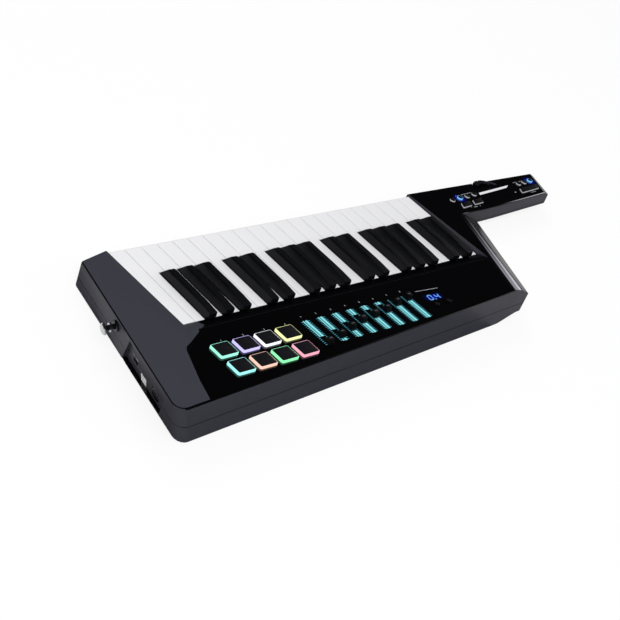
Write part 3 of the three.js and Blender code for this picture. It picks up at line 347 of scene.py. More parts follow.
def colour(text):
    """A linear colour from an sRGB hex value."""
    parts = (int(text[i : i + 2], 16) / 255 for i in (1, 3, 5))
    return tuple(c / 12.92 if c <= 0.04045 else ((c + 0.055) / 1.055) ** 2.4 for c in parts)


def rgba(value):
    """A colour socket's value from an RGB colour."""
    return (*value[:3], 1.0)


class KeyboardLooks(bpy.types.PropertyGroup):
    """Sizes and colours that a user would change."""

    gloss: bpy.props.FloatVectorProperty(
        name="Gloss Moulding",
        description="Colour of the polished panel, flank and neck",
        subtype="COLOR",
        default=colour("#030304"),
        min=0,
        max=1,
    )
    satin: bpy.props.FloatVectorProperty(
        name="Satin Moulding",
        description="Colour of the end cap and the walls",
        subtype="COLOR",
        default=colour("#3A3A43"),
        min=0,
        max=1,
    )
    natural: bpy.props.FloatVectorProperty(
        name="White Keys",
        description="Colour of the long keys",
        subtype="COLOR",
        default=colour("#F0F0F2"),
        min=0,
        max=1,
    )
    sharp: bpy.props.FloatVectorProperty(
        name="Black Keys",
        description="Colour of the short keys",
        subtype="COLOR",
        default=colour("#090A0E"),
        min=0,
        max=1,
    )
    guide: bpy.props.FloatVectorProperty(
        name="Level Lamps",
        description="Colour of the light guides beside the sliders",
        subtype="COLOR",
        default=colour("#8CEBF2"),
        min=0,
        max=1,
    )
    lamp: bpy.props.FloatVectorProperty(
        name="Button Lamps",
        description="Colour of the lit buttons and the digits",
        subtype="COLOR",
        default=colour("#7CC4FF"),
        min=0,
        max=1,
    )
    halo: bpy.props.FloatVectorProperty(
        name="Lamp Halo",
        description="Colour that the lamps shed into the dark window",
        subtype="COLOR",
        default=colour("#1420C8"),
        min=0,
        max=1,
    )
    edge: bpy.props.FloatProperty(
        name="Key Edge",
        description="Rounding of the keys' edges",
        unit="LENGTH",
        default=0.0006,
        min=0.0001,
        max=0.001,
    )
    pad_rim: bpy.props.FloatProperty(
        name="Pad Rim",
        description="Width of the lit rim around each pad's dark top",
        unit="LENGTH",
        default=0.0009,
        min=0.0002,
        max=0.002,
    )
    button_rim: bpy.props.FloatProperty(
        name="Button Rim",
        description="Width of the pale rim around each button's dark top",
        unit="LENGTH",
        default=0.0007,
        min=0.0002,
        max=0.002,
    )
    floor_size: bpy.props.FloatProperty(
        name="Floor Size",
        description="Half width of the floor",
        unit="LENGTH",
        default=6.0,
        min=1,
        max=20,
    )


def looks():
    """The user's sizes and colours."""
    return bpy.context.scene.keyboard_looks


# Nodes


def fill(node, inputs):
    """Sets inputs to plain values, or links them to a socket or to a node's first output in use."""
    for key, value in inputs.items() if isinstance(inputs, dict) else enumerate(inputs):
        if isinstance(value, bpy.types.Node):
            value = next(output for output in value.outputs if output.enabled)
        if isinstance(value, bpy.types.NodeSocket):
            node.id_data.links.new(value, node.inputs[key])
        else:
            node.inputs[key].default_value = value


def add(tree, kind, inputs=(), **settings):
    """Adds a node with its settings and its links."""
    made = tree.nodes.new(kind)
    for name, value in settings.items():
        setattr(made, name, value)
    fill(made, inputs)
    return made


def finish(name, coat, *values, **options):
    """The material of that name, made once: a shader, and the nodes that its coat adds."""
    made = bpy.data.materials.get(name)
    if made is None:
        made = bpy.data.materials.new(name)
        made.use_nodes = True
        tree = made.node_tree
        tree.nodes.clear()
        shader = add(tree, "ShaderNodeBsdfPrincipled")
        add(tree, "ShaderNodeOutputMaterial", {"Surface": shader})
        place = add(tree, "ShaderNodeTexCoord").outputs["Object"]
        coat(tree, shader, place, *values, **options)
    return made


def patchy(tree, place, size, low, high, detail=2.0, spread=(0.3, 0.7)):
    """A value that drifts between two levels, in patches of a size in millimetres."""
    cloud = add(
        tree, "ShaderNodeTexNoise", {"Vector": place, "Scale": 1 / (size * MM), "Detail": detail}
    )
    return add(tree, "ShaderNodeMapRange", (cloud, *spread, low, high))


def roughen(tree, shader, place, grain, depth, low, high, patch):
    """Mould grain of a real size in millimetres, and patches of handling that vary the sheen."""
    texture = add(
        tree,
        "ShaderNodeTexNoise",
        {"Vector": place, "Scale": 1 / (grain * MM), "Detail": 3.0, "Roughness": 0.6},
    )
    bump = add(
        tree, "ShaderNodeBump", {"Height": texture, "Strength": 0.35, "Distance": depth * MM}
    )
    fill(shader, {"Normal": bump, "Roughness": patchy(tree, place, patch, low, high)})


def grained(tree, place, shade):
    """Spark-eroded grain and the shade that it mottles. Real grain is 0.2 mm; 0.7 mm shows."""
    grain = add(
        tree, "ShaderNodeTexNoise", {"Vector": place, "Scale": 1 / (0.7 * MM), "Detail": 3.0}
    )
    dim, bright = (rgba([c * share for c in shade]) for share in (0.85, 1.15))
    mottled = add(tree, "ShaderNodeMix", {"Factor": grain, "A": dim, "B": bright}, data_type="RGBA")
    return grain, mottled


def faced(tree, place):
    """Where a point is and which way its face looks, as separate numbers."""
    normal = add(tree, "ShaderNodeNewGeometry").outputs["True Normal"]
    return (add(tree, "ShaderNodeSeparateXYZ", (vector,)).outputs for vector in (place, normal))


def joint_line(tree, where, facing):
    """A share that is 1 on the walls along the joint between the two mouldings, where the shadow of its narrow gap
    is painted.
    """
    slope, rise = math.sin(JOINT_SLOPE), math.cos(JOINT_SLOPE)
    level = ORIGIN.y * slope + (ORIGIN.z + JOINT_LEVEL * MM) * rise
    across = add(tree, "ShaderNodeMath", (where["Y"], slope, -level), operation="MULTIPLY_ADD")
    away = add(tree, "ShaderNodeMath", (where["Z"], rise, across), operation="MULTIPLY_ADD")
    off = add(tree, "ShaderNodeMath", (away,), operation="ABSOLUTE")
    near = add(tree, "ShaderNodeMath", (off, JOINT_SHADOW_WIDTH / 2 * MM), operation="LESS_THAN")
    level_share = add(tree, "ShaderNodeMath", (facing["Z"],), operation="ABSOLUTE")
    wall = add(tree, "ShaderNodeMath", (level_share, WALL_FACE), operation="LESS_THAN")
    return add(tree, "ShaderNodeMath", (near, wall), operation="MULTIPLY")


def part_polished(tree, shader, place, polished, gap):
    """Satin ABS where polished is 0, piano black where it is 1, and a painted shadow along the joint's gap."""
    grain, matt = grained(tree, place, looks().satin)
    tint = add(
        tree,
        "ShaderNodeMix",
        {"Factor": polished, "A": matt, "B": rgba(looks().gloss)},
        data_type="RGBA",
    )
    # Painted shadow: along the joint the walls are darkened to near black.
    shadow = add(
        tree,
        "ShaderNodeMix",
        {"Factor": gap, "A": tint, "B": rgba(colour("#030303"))},
        data_type="RGBA",
    )
    soft = patchy(tree, place, 50, 0.38, 0.46)
    sheen = add(
        tree, "ShaderNodeMix", {"Factor": polished, "A": soft, "B": 0.07}, data_type="FLOAT"
    )
    depth = add(tree, "ShaderNodeMapRange", {"Value": polished, "To Min": 0.05 * MM, "To Max": 0.0})
    bump = add(tree, "ShaderNodeBump", {"Height": grain, "Strength": 0.35, "Distance": depth})
    # The grain traps part of the satin's specular light.
    trapped = add(tree, "ShaderNodeMapRange", {"Value": polished, "To Min": 0.3, "To Max": 0.5})
    fill(shader, {"Specular IOR Level": trapped, "Base Color": shadow})
    fill(shader, {"Roughness": sheen, "Normal": bump})


# Finishes


def polished_abs(tree, shader, place):
    """Piano-black ABS, moulded in a polished tool: nearly black, with sharp reflections."""
    fill(shader, {"Base Color": rgba(looks().gloss), "IOR": 1.5})
    # The tool's polish leaves a faint orange peel about 9 mm across.
    roughen(tree, shader, place, grain=9, depth=0.01, low=0.05, high=0.09, patch=60)


def satin_abs(tree, shader, place, shade):
    """ABS from a spark-eroded tool: charcoal, with a soft broad sheen and a fine even grain."""
    # The grain traps part of the specular light.
    fill(shader, {"IOR": 1.5, "Specular IOR Level": 0.3})
    roughen(tree, shader, place, grain=0.7, depth=0.05, low=0.4, high=0.5, patch=45)
    fill(shader, {"Base Color": grained(tree, place, shade)[1]})


def lower_abs(tree, shader, place):
    """The lower moulding: satin walls and base, darkened to the gloss black on its upward faces, such as the ledge
    under the sockets.
    """
    fill(shader, {"IOR": 1.5})
    where, facing = faced(tree, place)
    # The upward faces, the ledge under the sockets among them, are darkened to the gloss black.
    ledge = add(tree, "ShaderNodeMath", (facing["Z"], UPPER_FACE), operation="GREATER_THAN")
    part_polished(tree, shader, place, ledge, joint_line(tree, where, facing))


def two_tone_abs(tree, shader, place):
    """The upper moulding: satin charcoal cap and walls, polished over the panel, flank and neck."""
    fill(shader, {"IOR": 1.5})
    where, facing = faced(tree, place)
    # The polish starts along a kinked line beside the inlay: each stretch adds its own step.
    border = where["X"]
    for i, (here, ahead) in enumerate(zip(SATIN_BORDER, SATIN_BORDER[1:])):
        start = ORIGIN.x + here[0] * MM if i == 0 else 0.0
        stretch = add(
            tree,
            "ShaderNodeMapRange",
            {
                "Value": where["Y"],
                "From Min": ORIGIN.y + here[1] * MM,
                "From Max": ORIGIN.y + ahead[1] * MM,
                "To Min": start,
                "To Max": start + (ahead[0] - here[0]) * MM,
            },
        )
        border = add(tree, "ShaderNodeMath", (border, stretch), operation="SUBTRACT")
    beyond = add(tree, "ShaderNodeMath", (border, 0.0), operation="GREATER_THAN")
    # The rounded outer edges of the satin cap are polished too.
    left, near, leaning = (
        add(tree, "ShaderNodeMath", (facing[axis], limit), operation="LESS_THAN")
        for axis, limit in (("X", LEFT_FACE), ("Y", 0.0), ("Z", ROUNDED_FACE))
    )
    outward = add(tree, "ShaderNodeMath", (left, near), operation="MAXIMUM")
    rounding = add(tree, "ShaderNodeMath", (outward, leaning), operation="MULTIPLY")
    either = add(tree, "ShaderNodeMath", (beyond, rounding), operation="MAXIMUM")
    upward = add(tree, "ShaderNodeMath", (facing["Z"], UPPER_FACE), operation="GREATER_THAN")
    polished = add(tree, "ShaderNodeMath", (upward, either), operation="MULTIPLY")
    part_polished(tree, shader, place, polished, joint_line(tree, where, facing))


def key_white(tree, shader, place):
    """Moulded SAN resin of the long keys: bright, dense and evenly glossy."""
    fill(shader, {"Base Color": rgba(looks().natural), "IOR": 1.56})
    # Flow in the tool leaves a ripple about 12 mm long.
    roughen(tree, shader, place, grain=12, depth=0.02, low=0.16, high=0.24, patch=30)


def key_black(tree, shader, place):
    """Satin phenolic of the short keys: near black, with fine lines drawn along the key."""
    fill(shader, {"Base Color": rgba(looks().sharp), "IOR": 1.5, "Specular IOR Level": 0.2})
    # Lines 0.5 mm apart across the key and 40 mm long along it.
    drawn = add(
        tree,
        "ShaderNodeMapping",
        {"Vector": place, "Scale": (1 / (0.5 * MM), 1 / (40 * MM), 1 / (0.5 * MM))},
    )
    lines = add(tree, "ShaderNodeTexNoise", {"Vector": drawn, "Scale": 1.0, "Detail": 3.0})
    bump = add(tree, "ShaderNodeBump", {"Height": lines, "Strength": 0.4, "Distance": 0.04 * MM})
    sheen = add(tree, "ShaderNodeMapRange", {"Value": lines, "To Min": 0.34, "To Max": 0.5})
    fill(shader, {"Normal": bump, "Roughness": sheen})


def silicone(tree, shader, place, shade, low=0.5, high=0.62, shine=0.35):
    """Moulded silicone rubber: soft-looking, with a dull sheen and a powdery bloom."""
    fill(shader, {"Base Color": rgba(shade), "IOR": 1.41, "Specular IOR Level": shine})
    roughen(tree, shader, place, grain=1.2, depth=0.04, low=low, high=high, patch=18)


def coated_silicone(tree, shader, place, shade, dark):
    """Pale silicone buttons whose tops and upper sides are coated in dark ink."""
    fill(shader, {"IOR": 1.41, "Specular IOR Level": 0.2})
    roughen(tree, shader, place, grain=1.2, depth=0.04, low=0.5, high=0.62, patch=18)
    above = add(tree, "ShaderNodeVectorMath", (place, TOP.translation), operation="SUBTRACT")
    upright = (0.0, math.sin(TOP_SLOPE), math.cos(TOP_SLOPE))
    rise = add(tree, "ShaderNodeVectorMath", (above, upright), operation="DOT_PRODUCT")
    coated = add(tree, "ShaderNodeMath", (rise, PALE_RISE * MM), operation="GREATER_THAN")
    tint = add(
        tree,
        "ShaderNodeMix",
        {"Factor": coated, "A": rgba(shade), "B": rgba(dark)},
        data_type="RGBA",
    )
    fill(shader, {"Base Color": tint})


def lit_silicone(tree, shader, place):
    """Translucent silicone skirt over a lamp: the colour of its lamp, a little cloudy."""
    fill(shader, {"Roughness": 0.45, "IOR": 1.41})
    glow = add(tree, "ShaderNodeAttribute", attribute_name="glow")
    strength = patchy(tree, place, 6, 0.9, 1.2, detail=1.0, spread=(0.0, 1.0))
    shade = add(
        tree,
        "ShaderNodeMix",
        {"Factor": 0.25, "A": rgba(colour("#000000")), "B": glow},
        data_type="RGBA",
    )
    fill(shader, {"Base Color": shade, "Emission Color": glow, "Emission Strength": strength})


def lamp(tree, shader, place, shade, strength):
    """Clear acrylic light guide over a lamp, with a slight unevenness along it."""
    fill(shader, {"Base Color": rgba(colour("#191919")), "Roughness": 0.3})
    level = patchy(tree, place, 5, strength * 0.9, strength, detail=1.0)
    fill(shader, {"Emission Color": rgba(shade), "Emission Strength": level})


def lamp_halo(tree, shader, _):
    """Smoked window over a lamp: polished black where the lamp's light has died away."""
    fill(shader, {"Base Color": rgba(looks().gloss), "Roughness": 0.07})
    reach = add(tree, "ShaderNodeAttribute", attribute_name="reach").outputs["Fac"]
    fade = add(tree, "ShaderNodeMath", (reach, HALO_FADE), operation="POWER")
    level = add(tree, "ShaderNodeMath", (fade, HALO_STRENGTH), operation="MULTIPLY")
    fill(shader, {"Emission Color": rgba(looks().halo), "Emission Strength": level})


def ink(tree, shader, place, shade):
    """Pad-printed ink: flat and thin, a little broken where it was pressed on."""
    fill(shader, {"Roughness": 0.55})
    worn = add(
        tree, "ShaderNodeTexNoise", {"Vector": place, "Scale": 1 / (0.8 * MM), "Detail": 2.0}
    )
    tint = add(
        tree,
        "ShaderNodeMix",
        {"Factor": worn, "A": rgba([c * 0.75 for c in shade]), "B": rgba(shade)},
        data_type="RGBA",
    )
    fill(shader, {"Base Color": tint})


def chrome(tree, shader, place):
    """Bright chromium plate over turned steel: mirror-like, with faint turning marks."""
    fill(shader, {"Base Color": rgba(colour("#DADCE0")), "Metallic": 1.0})
    roughen(tree, shader, place, grain=0.4, depth=0.01, low=0.08, high=0.16, patch=6)


def plated_pin(tree, shader, place):
    """Black moulded strap pin with a chromium-plated head and collar."""
    mount = next(m for m in frame["record"]["mounts"] if m["name"] == "strap_pin_body")
    way = Vector(mount["axis"])
    end = max(v.co.dot(way) for v in frame["nodes"]["strap_pin_body"].data.vertices)
    roughen(tree, shader, place, grain=0.4, depth=0.01, low=0.08, high=0.16, patch=6)
    along = add(tree, "ShaderNodeVectorMath", (place, way), operation="DOT_PRODUCT")
    depth = add(tree, "ShaderNodeMath", (end, along), operation="SUBTRACT")
    head = add(tree, "ShaderNodeMath", (depth, PIN_HEAD * MM), operation="LESS_THAN")
    past = add(tree, "ShaderNodeMath", (depth, PIN_COLLAR * MM), operation="SUBTRACT")
    off = add(tree, "ShaderNodeMath", (past,), operation="ABSOLUTE")
    collar = add(tree, "ShaderNodeMath", (off, PIN_COLLAR_HALF * MM), operation="LESS_THAN")
    plated = add(tree, "ShaderNodeMath", (head, collar), operation="MAXIMUM")
    tint = add(
        tree,
        "ShaderNodeMix",
        {"Factor": plated, "A": rgba(colour("#0C0C0E")), "B": rgba(colour("#E4E5E8"))},
        data_type="RGBA",
    )
    fill(shader, {"Base Color": tint, "Metallic": plated})


def nylon(tree, shader, place, shade):
    """Moulded nylon of the sockets: slightly waxy, with flow marks."""
    fill(shader, {"Base Color": rgba(shade), "IOR": 1.53})
    roughen(tree, shader, place, grain=2, depth=0.03, low=0.35, high=0.5, patch=9)


def touch_film(tree, shader, place):
    """Pale polycarbonate film of the touch strip, embossed with fine dimples 1.5 mm apart."""
    fill(shader, {"Base Color": rgba(colour("#ECEBF0")), "IOR": 1.58})
    dimples = add(tree, "ShaderNodeTexVoronoi", {"Vector": place, "Scale": 1 / (1.5 * MM)})
    bump = add(tree, "ShaderNodeBump", {"Height": dimples, "Strength": 0.4, "Distance": 0.1 * MM})
    sheen = add(tree, "ShaderNodeMapRange", {"Value": dimples, "To Min": 0.4, "To Max": 0.55})
    fill(shader, {"Normal": bump, "Roughness": sheen})


# Shapes


def rounded(x0, x1, y0, y1, radius, steps=4):
    """A counter-clockwise rectangle with round corners."""
    left, right, low, high = x0 + radius, x1 - radius, y0 + radius, y1 - radius
    outline = []
    for quarter, (cx, cy) in enumerate(((right, high), (left, high), (left, low), (right, low))):
        for step in range(steps + 1):
            angle = math.pi / 2 * (quarter + step / steps)
            outline.append((cx + radius * math.cos(angle), cy + radius * math.sin(angle)))
    return outline


def circle(x, y, radius, steps=32):
    """A counter-clockwise circle."""
    turns = (math.tau / steps * i for i in range(steps))
    return [(x + radius * math.cos(turn), y + radius * math.sin(turn)) for turn in turns]


def inset(outline, distance):
    """A counter-clockwise outline moved inwards by a distance."""
    count = len(outline)
    moved = []
    for i, point in enumerate(outline):
        here = Vector(point)
        back = (here - Vector(outline[i - 1])).normalized()
        ahead = (Vector(outline[(i + 1) % count]) - here).normalized()
        first, second = Vector((-back.y, back.x)), Vector((-ahead.y, ahead.x))
        moved.append(tuple(here + (first + second) * (distance / (1 + first.dot(second)))))
    return moved


def bar(x, y, length, edge):
    """A long button's slanted outline, drawn in by an edge width."""
    rise, lean = NECK_RAKE * length, BAR_SLANT * BAR_DEPTH
    far = y + BAR_DEPTH
    corners = ((x, y), (x + length, y + rise), (x + length + lean, far + rise), (x + lean, far))
    return inset(corners, edge)


def at_height(outline, height):
    """An outline's points at one height."""
    return [(x, y, height) for x, y in outline]


def loft(shape, rings, cyclic=False):
    """Adds a closed skin through rings of points, listed from the bottom up."""
    loops = [[shape.verts.new(point) for point in ring] for ring in rings]
    for low, high in zip(loops, loops[1:] + loops[:1] if cyclic else loops[1:]):
        for i in range(len(low)):
            j = (i + 1) % len(low)
            shape.faces.new((low[i], low[j], high[j], high[i]))
    if not cyclic:
        shape.faces.new(reversed(loops[0]))
        shape.faces.new(loops[-1])
    return shape


def plate(shape, outline, low, high, edge=0.0):
    """Adds a plate with a rounded upper edge."""
    rings = [at_height(outline, low)]
    for angle in (0, 30, 60, 90) if edge else (90,):
        turn = math.radians(angle)
        ring = inset(outline, edge * (1 - math.cos(turn))) if edge else outline
        rings.append(at_height(ring, high - edge * (1 - math.sin(turn))))
    return loft(shape, rings)


def tube(shape, outer, inner, low, high):
    """Adds a closed ring between two outlines of equal count."""
    corners = ((outer, low), (outer, high), (inner, high), (inner, low))
    return loft(shape, [at_height(outline, height) for outline, height in corners], cyclic=True)


def fading(shape, inner, centre, reach, solid=True):
    """Adds a thin plate around a lamp whose reach attribute fades from 1 to 0 outwards."""
    layer = shape.verts.layers.float.get("reach") or shape.verts.layers.float.new("reach")
    low, high = HALO_LEVELS
    rings = []
    for i in range(HALO_RINGS + 1):
        share = i / HALO_RINGS
        ring = []
        for point in inner:
            away = Vector(point) - Vector(centre)
            ring.append(tuple(Vector(point) + away.normalized() * reach * share))
        rings.append((ring, 1 - share))
    tops = [[shape.verts.new((x, y, high)) for x, y in ring] for ring, _ in rings]
    lows = [[shape.verts.new((x, y, low)) for x, y in ring] for ring, _ in (rings[0], rings[-1])]
    for loop, (_, value) in zip(tops, rings):
        for vert in loop:
            vert[layer] = value
    for vert in lows[0]:
        vert[layer] = 1
    bands = list(zip(tops, tops[1:])) + [(tops[-1], lows[1]), (lows[1], lows[0])]
    if not solid:
        bands.append((lows[0], tops[0]))
    for first, second in bands:
        for i in range(len(first)):
            j = (i + 1) % len(first)
            shape.faces.new((first[i], first[j], second[j], second[i]))
    if solid:
        shape.faces.new(tops[0])
        shape.faces.new(lows[0])


# Pieces


def settle(name, data, paint, body):
    """Links a mesh that is in its place as a piece that rides on a body."""
    if paint is not None:
        data.materials.clear()
        data.materials.append(paint)
    data.shade_smooth()
    data.set_sharp_from_angle(angle=SHARP)
    made = bpy.data.objects.new(name, data)
    bpy.context.scene.collection.objects.link(made)
    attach(made, body)
    return made


def drawn_mesh(name, shape):
    """A mesh from a drawn shape, with its faces turned outwards."""
    bmesh.ops.recalc_face_normals(shape, faces=shape.faces)
    data = bpy.data.meshes.new(name)
    shape.to_mesh(data)
    shape.free()
    return data


def piece(name, shape, place, paint, body):
    """Turns a drawn shape into a piece in its place."""
    data = drawn_mesh(name, shape)
    data.transform(place)
    return settle(name, data, paint, body)


def repeat_tree():
    """The node tree that sets a prototype on every place and makes the result solid."""
    tree = bpy.data.node_groups.get("Set on places")
    if tree:
        return tree
    tree = bpy.data.node_groups.new("Set on places", "GeometryNodeTree")
    for label, kind in (
        ("Places", "NodeSocketGeometry"),
        ("Prototype", "NodeSocketObject"),
        ("Size", "NodeSocketVector"),
        ("Finish", "NodeSocketMaterial"),
    ):
        tree.interface.new_socket(label, in_out="INPUT", socket_type=kind)
    tree.interface.new_socket("Pieces", in_out="OUTPUT", socket_type="NodeSocketGeometry")
    given = add(tree, "NodeGroupInput").outputs
    model = add(tree, "GeometryNodeObjectInfo", {"Object": given["Prototype"], "As Instance": True})
    copies = add(
        tree,
        "GeometryNodeInstanceOnPoints",
        {"Points": given["Places"], "Instance": model.outputs["Geometry"], "Scale": given["Size"]},
    )
    solid = add(tree, "GeometryNodeRealizeInstances", {"Geometry": copies})
    painted = add(tree, "GeometryNodeSetMaterial", {"Geometry": solid, "Material": given["Finish"]})
    add(tree, "NodeGroupOutput", {"Pieces": painted})
    return tree


def repeated(name, places, shape, place, paint, body, size=(1, 1, 1), glow=()):
    """Sets a drawn shape on every flat place with Geometry Nodes, as one plain mesh."""
    scene = bpy.context.scene
    model = bpy.data.objects.new(name + "_model", drawn_mesh(name + "_model", shape))
    spots = bpy.data.meshes.new(name + "_places")
    spots.from_pydata([Vector((x, y, 0)) for x, y in places], [], [])
    if glow:
        held = spots.attributes.new("glow", "FLOAT_COLOR", "POINT")
        for spot, shade in zip(held.data, glow):
            spot.color = rgba(colour(shade))
    host = bpy.data.objects.new(name + "_places", spots)
    for thing in (model, host):
        scene.collection.objects.link(thing)
    modifier = host.modifiers.new("Repeat", "NODES")
    modifier.node_group = repeat_tree()
    values = {"Prototype": model, "Size": size, "Finish": paint}
    for item in modifier.node_group.interface.items_tree:
        if item.in_out == "INPUT" and item.name in values:
            modifier[item.identifier] = values[item.name]
    bpy.context.view_layer.update()
    shown = host.evaluated_get(bpy.context.evaluated_depsgraph_get())
    data = bpy.data.meshes.new_from_object(shown)
    data.name = name
    data.transform(place)
    host.modifiers.remove(modifier)
    for thing in (model, host):
        bpy.data.objects.remove(thing)
    return settle(name, data, None, body)


def print_text(shape, text, size, x, y, height):
    """Adds raised characters, centred on a point."""
    curve = bpy.data.curves.new("Characters", "FONT")
    curve.body = text
    curve.size = size
    curve.extrude = PRINT_HALF
    curve.align_x = "CENTER"
    curve.align_y = "CENTER"
    written = bpy.data.objects.new("Characters", curve)
    bpy.context.scene.collection.objects.link(written)
    bpy.context.view_layer.update()
    shown = written.evaluated_get(bpy.context.evaluated_depsgraph_get())
    data = bpy.data.meshes.new_from_object(shown)
    data.transform(Matrix.Translation((x, y, height)))
    shape.from_mesh(data)
    bpy.data.objects.remove(written)
    bpy.data.curves.remove(curve)
    bpy.data.meshes.remove(data)


def dress(name, paint, edge=None):
    """Gives a CAD node its finish and shades its curved faces smoothly."""
    node = frame["nodes"][name]
    node.data.materials.clear()
    node.data.materials.append(paint)
    node.data.shade_smooth()
    weld = node.modifiers.new("Weld", "WELD")
    weld.merge_threshold = WELD_REACH
    flat = node.modifiers.new("Flat faces", "DECIMATE")
    flat.decimate_type = "DISSOLVE"
    flat.angle_limit = FLAT
    if edge:
        bevel = node.modifiers.new("Edges", "BEVEL")
        bevel.limit_method = "ANGLE"
        bevel.angle_limit = SHARP
        bevel.width = edge
        bevel.segments = 2
    else:
        split = node.modifiers.new("Sharp edges", "EDGE_SPLIT")
        split.split_angle = SHARP
    node.modifiers.new("Even shading", "WEIGHTED_NORMAL")


# Operators


class KEYBOARD_OT_stage(bpy.types.Operator):
    """Set up the floor, the studio lamps and the camera"""

    bl_idname = "keyboard.stage"
    bl_label = "Stage and Camera"

    def execute(self, context):
        scene = context.scene
        scene.view_settings.view_transform = "Standard"
        self.make_camera(scene)
        self.make_floor(scene)
        self.make_world(scene)
        self.make_lamps(scene)
        return {"FINISHED"}

    def make_camera(self, scene):
        """The photograph's view."""
        data = bpy.data.cameras.new("Camera")
        data.lens = CAMERA_LENS
        data.sensor_width = CAMERA_SENSOR
        data.clip_start, data.clip_end = CAMERA_CLIP
        camera = bpy.data.objects.new("Camera", data)
        back = CAMERA_RIGHT.cross(-CAMERA_DOWN)
        turn = Matrix((CAMERA_RIGHT, -CAMERA_DOWN, back)).transposed().to_4x4()
        camera.matrix_world = Matrix.Translation(ORIGIN + CAMERA_PLACE * MM) @ turn
        scene.collection.objects.link(camera)
        scene.camera = camera

    def make_floor(self, scene):
        """A plain sheet of paper under the object."""
        shape = bmesh.new()
        bmesh.ops.create_grid(shape, x_segments=1, y_segments=1, size=looks().floor_size)
        data = bpy.data.meshes.new("Floor")
        shape.to_mesh(data)
        shape.free()
        data.transform(Matrix.Translation((0, 0, FLOOR_LEVEL * MM)))
        data.materials.append(self.paper())
        floor = bpy.data.objects.new("Floor", data)
        scene.collection.objects.link(floor)

    def paper(self):
        """Matt white background paper, seen as white while it keeps the object's shadow."""
        made = bpy.data.materials.new("White_background_paper")
        made.use_nodes = True
        tree = made.node_tree
        tree.nodes.clear()
        place = add(tree, "ShaderNodeTexCoord").outputs["Object"]
        fibre = add(
            tree, "ShaderNodeTexNoise", {"Vector": place, "Scale": 1 / (4 * MM), "Detail": 2.0}
        )
        tint = add(
            tree,
            "ShaderNodeMix",
            {"Factor": fibre, "A": rgba(colour("#F6F6F6")), "B": rgba(colour("#FAFAFA"))},
            data_type="RGBA",
        )
        direct, mirrored = self.rays(tree)
        paper = add(
            tree,
            "ShaderNodeMix",
            {"Factor": mirrored, "A": tint, "B": self.mirrored_paper(tree, place)},
            data_type="RGBA",
        )
        matt = add(tree, "ShaderNodeBsdfDiffuse", {"Color": paper})
        white = add(tree, "ShaderNodeEmission", {"Color": rgba(colour("#FFFFFF")), "Strength": 1.0})
        share = add(tree, "ShaderNodeMath", (direct, PAPER_WHITE_SHARE), operation="MULTIPLY")
        mixed = add(tree, "ShaderNodeMixShader", (share, matt, white))
        add(tree, "ShaderNodeOutputMaterial", {"Surface": mixed})
        return made

    def rays(self, tree):
        """Whether a ray comes straight from the camera, and whether gloss or glass sends it."""
        path = add(tree, "ShaderNodeLightPath").outputs
        sent = (path["Is Glossy Ray"], path["Is Transmission Ray"])
        return path["Is Camera Ray"], add(tree, "ShaderNodeMath", sent, operation="MAXIMUM")

    def mirrored_paper(self, tree, place):
        """The paper's shade in reflections: grey close by, pale at both ends, dark far off."""
        spot = add(tree, "ShaderNodeSeparateXYZ", (place,)).outputs
        left = add(tree, "ShaderNodeMath", (spot["X"], LEFT_EDGE), operation="LESS_THAN")
        lit = add(tree, "ShaderNodeMapRange", (spot["Y"], *LEFT_FADE, LEFT_LEAST, 1.0))
        left_share = add(tree, "ShaderNodeMath", (left, lit), operation="MULTIPLY")
        right = add(tree, "ShaderNodeMath", (spot["X"], RIGHT_EDGE), operation="GREATER_THAN")
        side = add(tree, "ShaderNodeSeparateXYZ", (self.outside(tree, place, *CAD_BOX),)).outputs
        away = add(tree, "ShaderNodeMath", (side["X"], side["Y"]), operation="MAXIMUM")
        far = add(tree, "ShaderNodeMapRange", (away, *FAR_FADE), interpolation_type="SMOOTHSTEP")
        shade = rgba(colour(MIRRORED_NEAR))
        for share, other in (
            (left_share, MIRRORED_LEFT),
            (right, MIRRORED_RIGHT),
            (far, MIRRORED_FAR),
        ):
            shade = add(
                tree,
                "ShaderNodeMix",
                {"Factor": share, "A": shade, "B": rgba(colour(other))},
                data_type="RGBA",
            )
        return shade

    def outside(self, tree, point, low, high):
        """How far a point lies outside a box, along each axis."""
        offset = add(tree, "ShaderNodeVectorMath", (point, (low + high) / 2), operation="SUBTRACT")
        length = add(tree, "ShaderNodeVectorMath", (offset,), operation="ABSOLUTE")
        return add(tree, "ShaderNodeVectorMath", (length, (high - low) / 2), operation="SUBTRACT")

    def make_world(self, scene):
        """White behind the object, soft grey fill, and white cards in a dark room for gloss."""
        world = bpy.data.worlds.new("Studio")
        world.use_nodes = True
        tree = world.node_tree
        tree.nodes.clear()
        way = add(tree, "ShaderNodeTexCoord").outputs["Generated"]
        room = ROOM_LEVEL
        for low, high, soft, strength in CARDS:
            share = self.card(tree, way, Vector(low), Vector(high), soft)
            room = add(tree, "ShaderNodeMath", (share, strength, room), operation="MULTIPLY_ADD")
        direct, mirrored = self.rays(tree)
        level = add(
            tree,
            "ShaderNodeMix",
            {"Factor": mirrored, "A": FILL_LEVEL, "B": room},
            data_type="FLOAT",
        )
        seen = add(
            tree, "ShaderNodeMix", {"Factor": direct, "A": level, "B": 1.0}, data_type="FLOAT"
        )
        tint = add(
            tree,
            "ShaderNodeMix",
            {"Factor": mirrored, "A": rgba(colour("#FFFFFF")), "B": rgba(colour(ROOM_TINT))},
            data_type="RGBA",
        )
        back = add(tree, "ShaderNodeBackground", {"Color": tint, "Strength": seen})
        add(tree, "ShaderNodeOutputWorld", {"Surface": back})
        scene.world = world

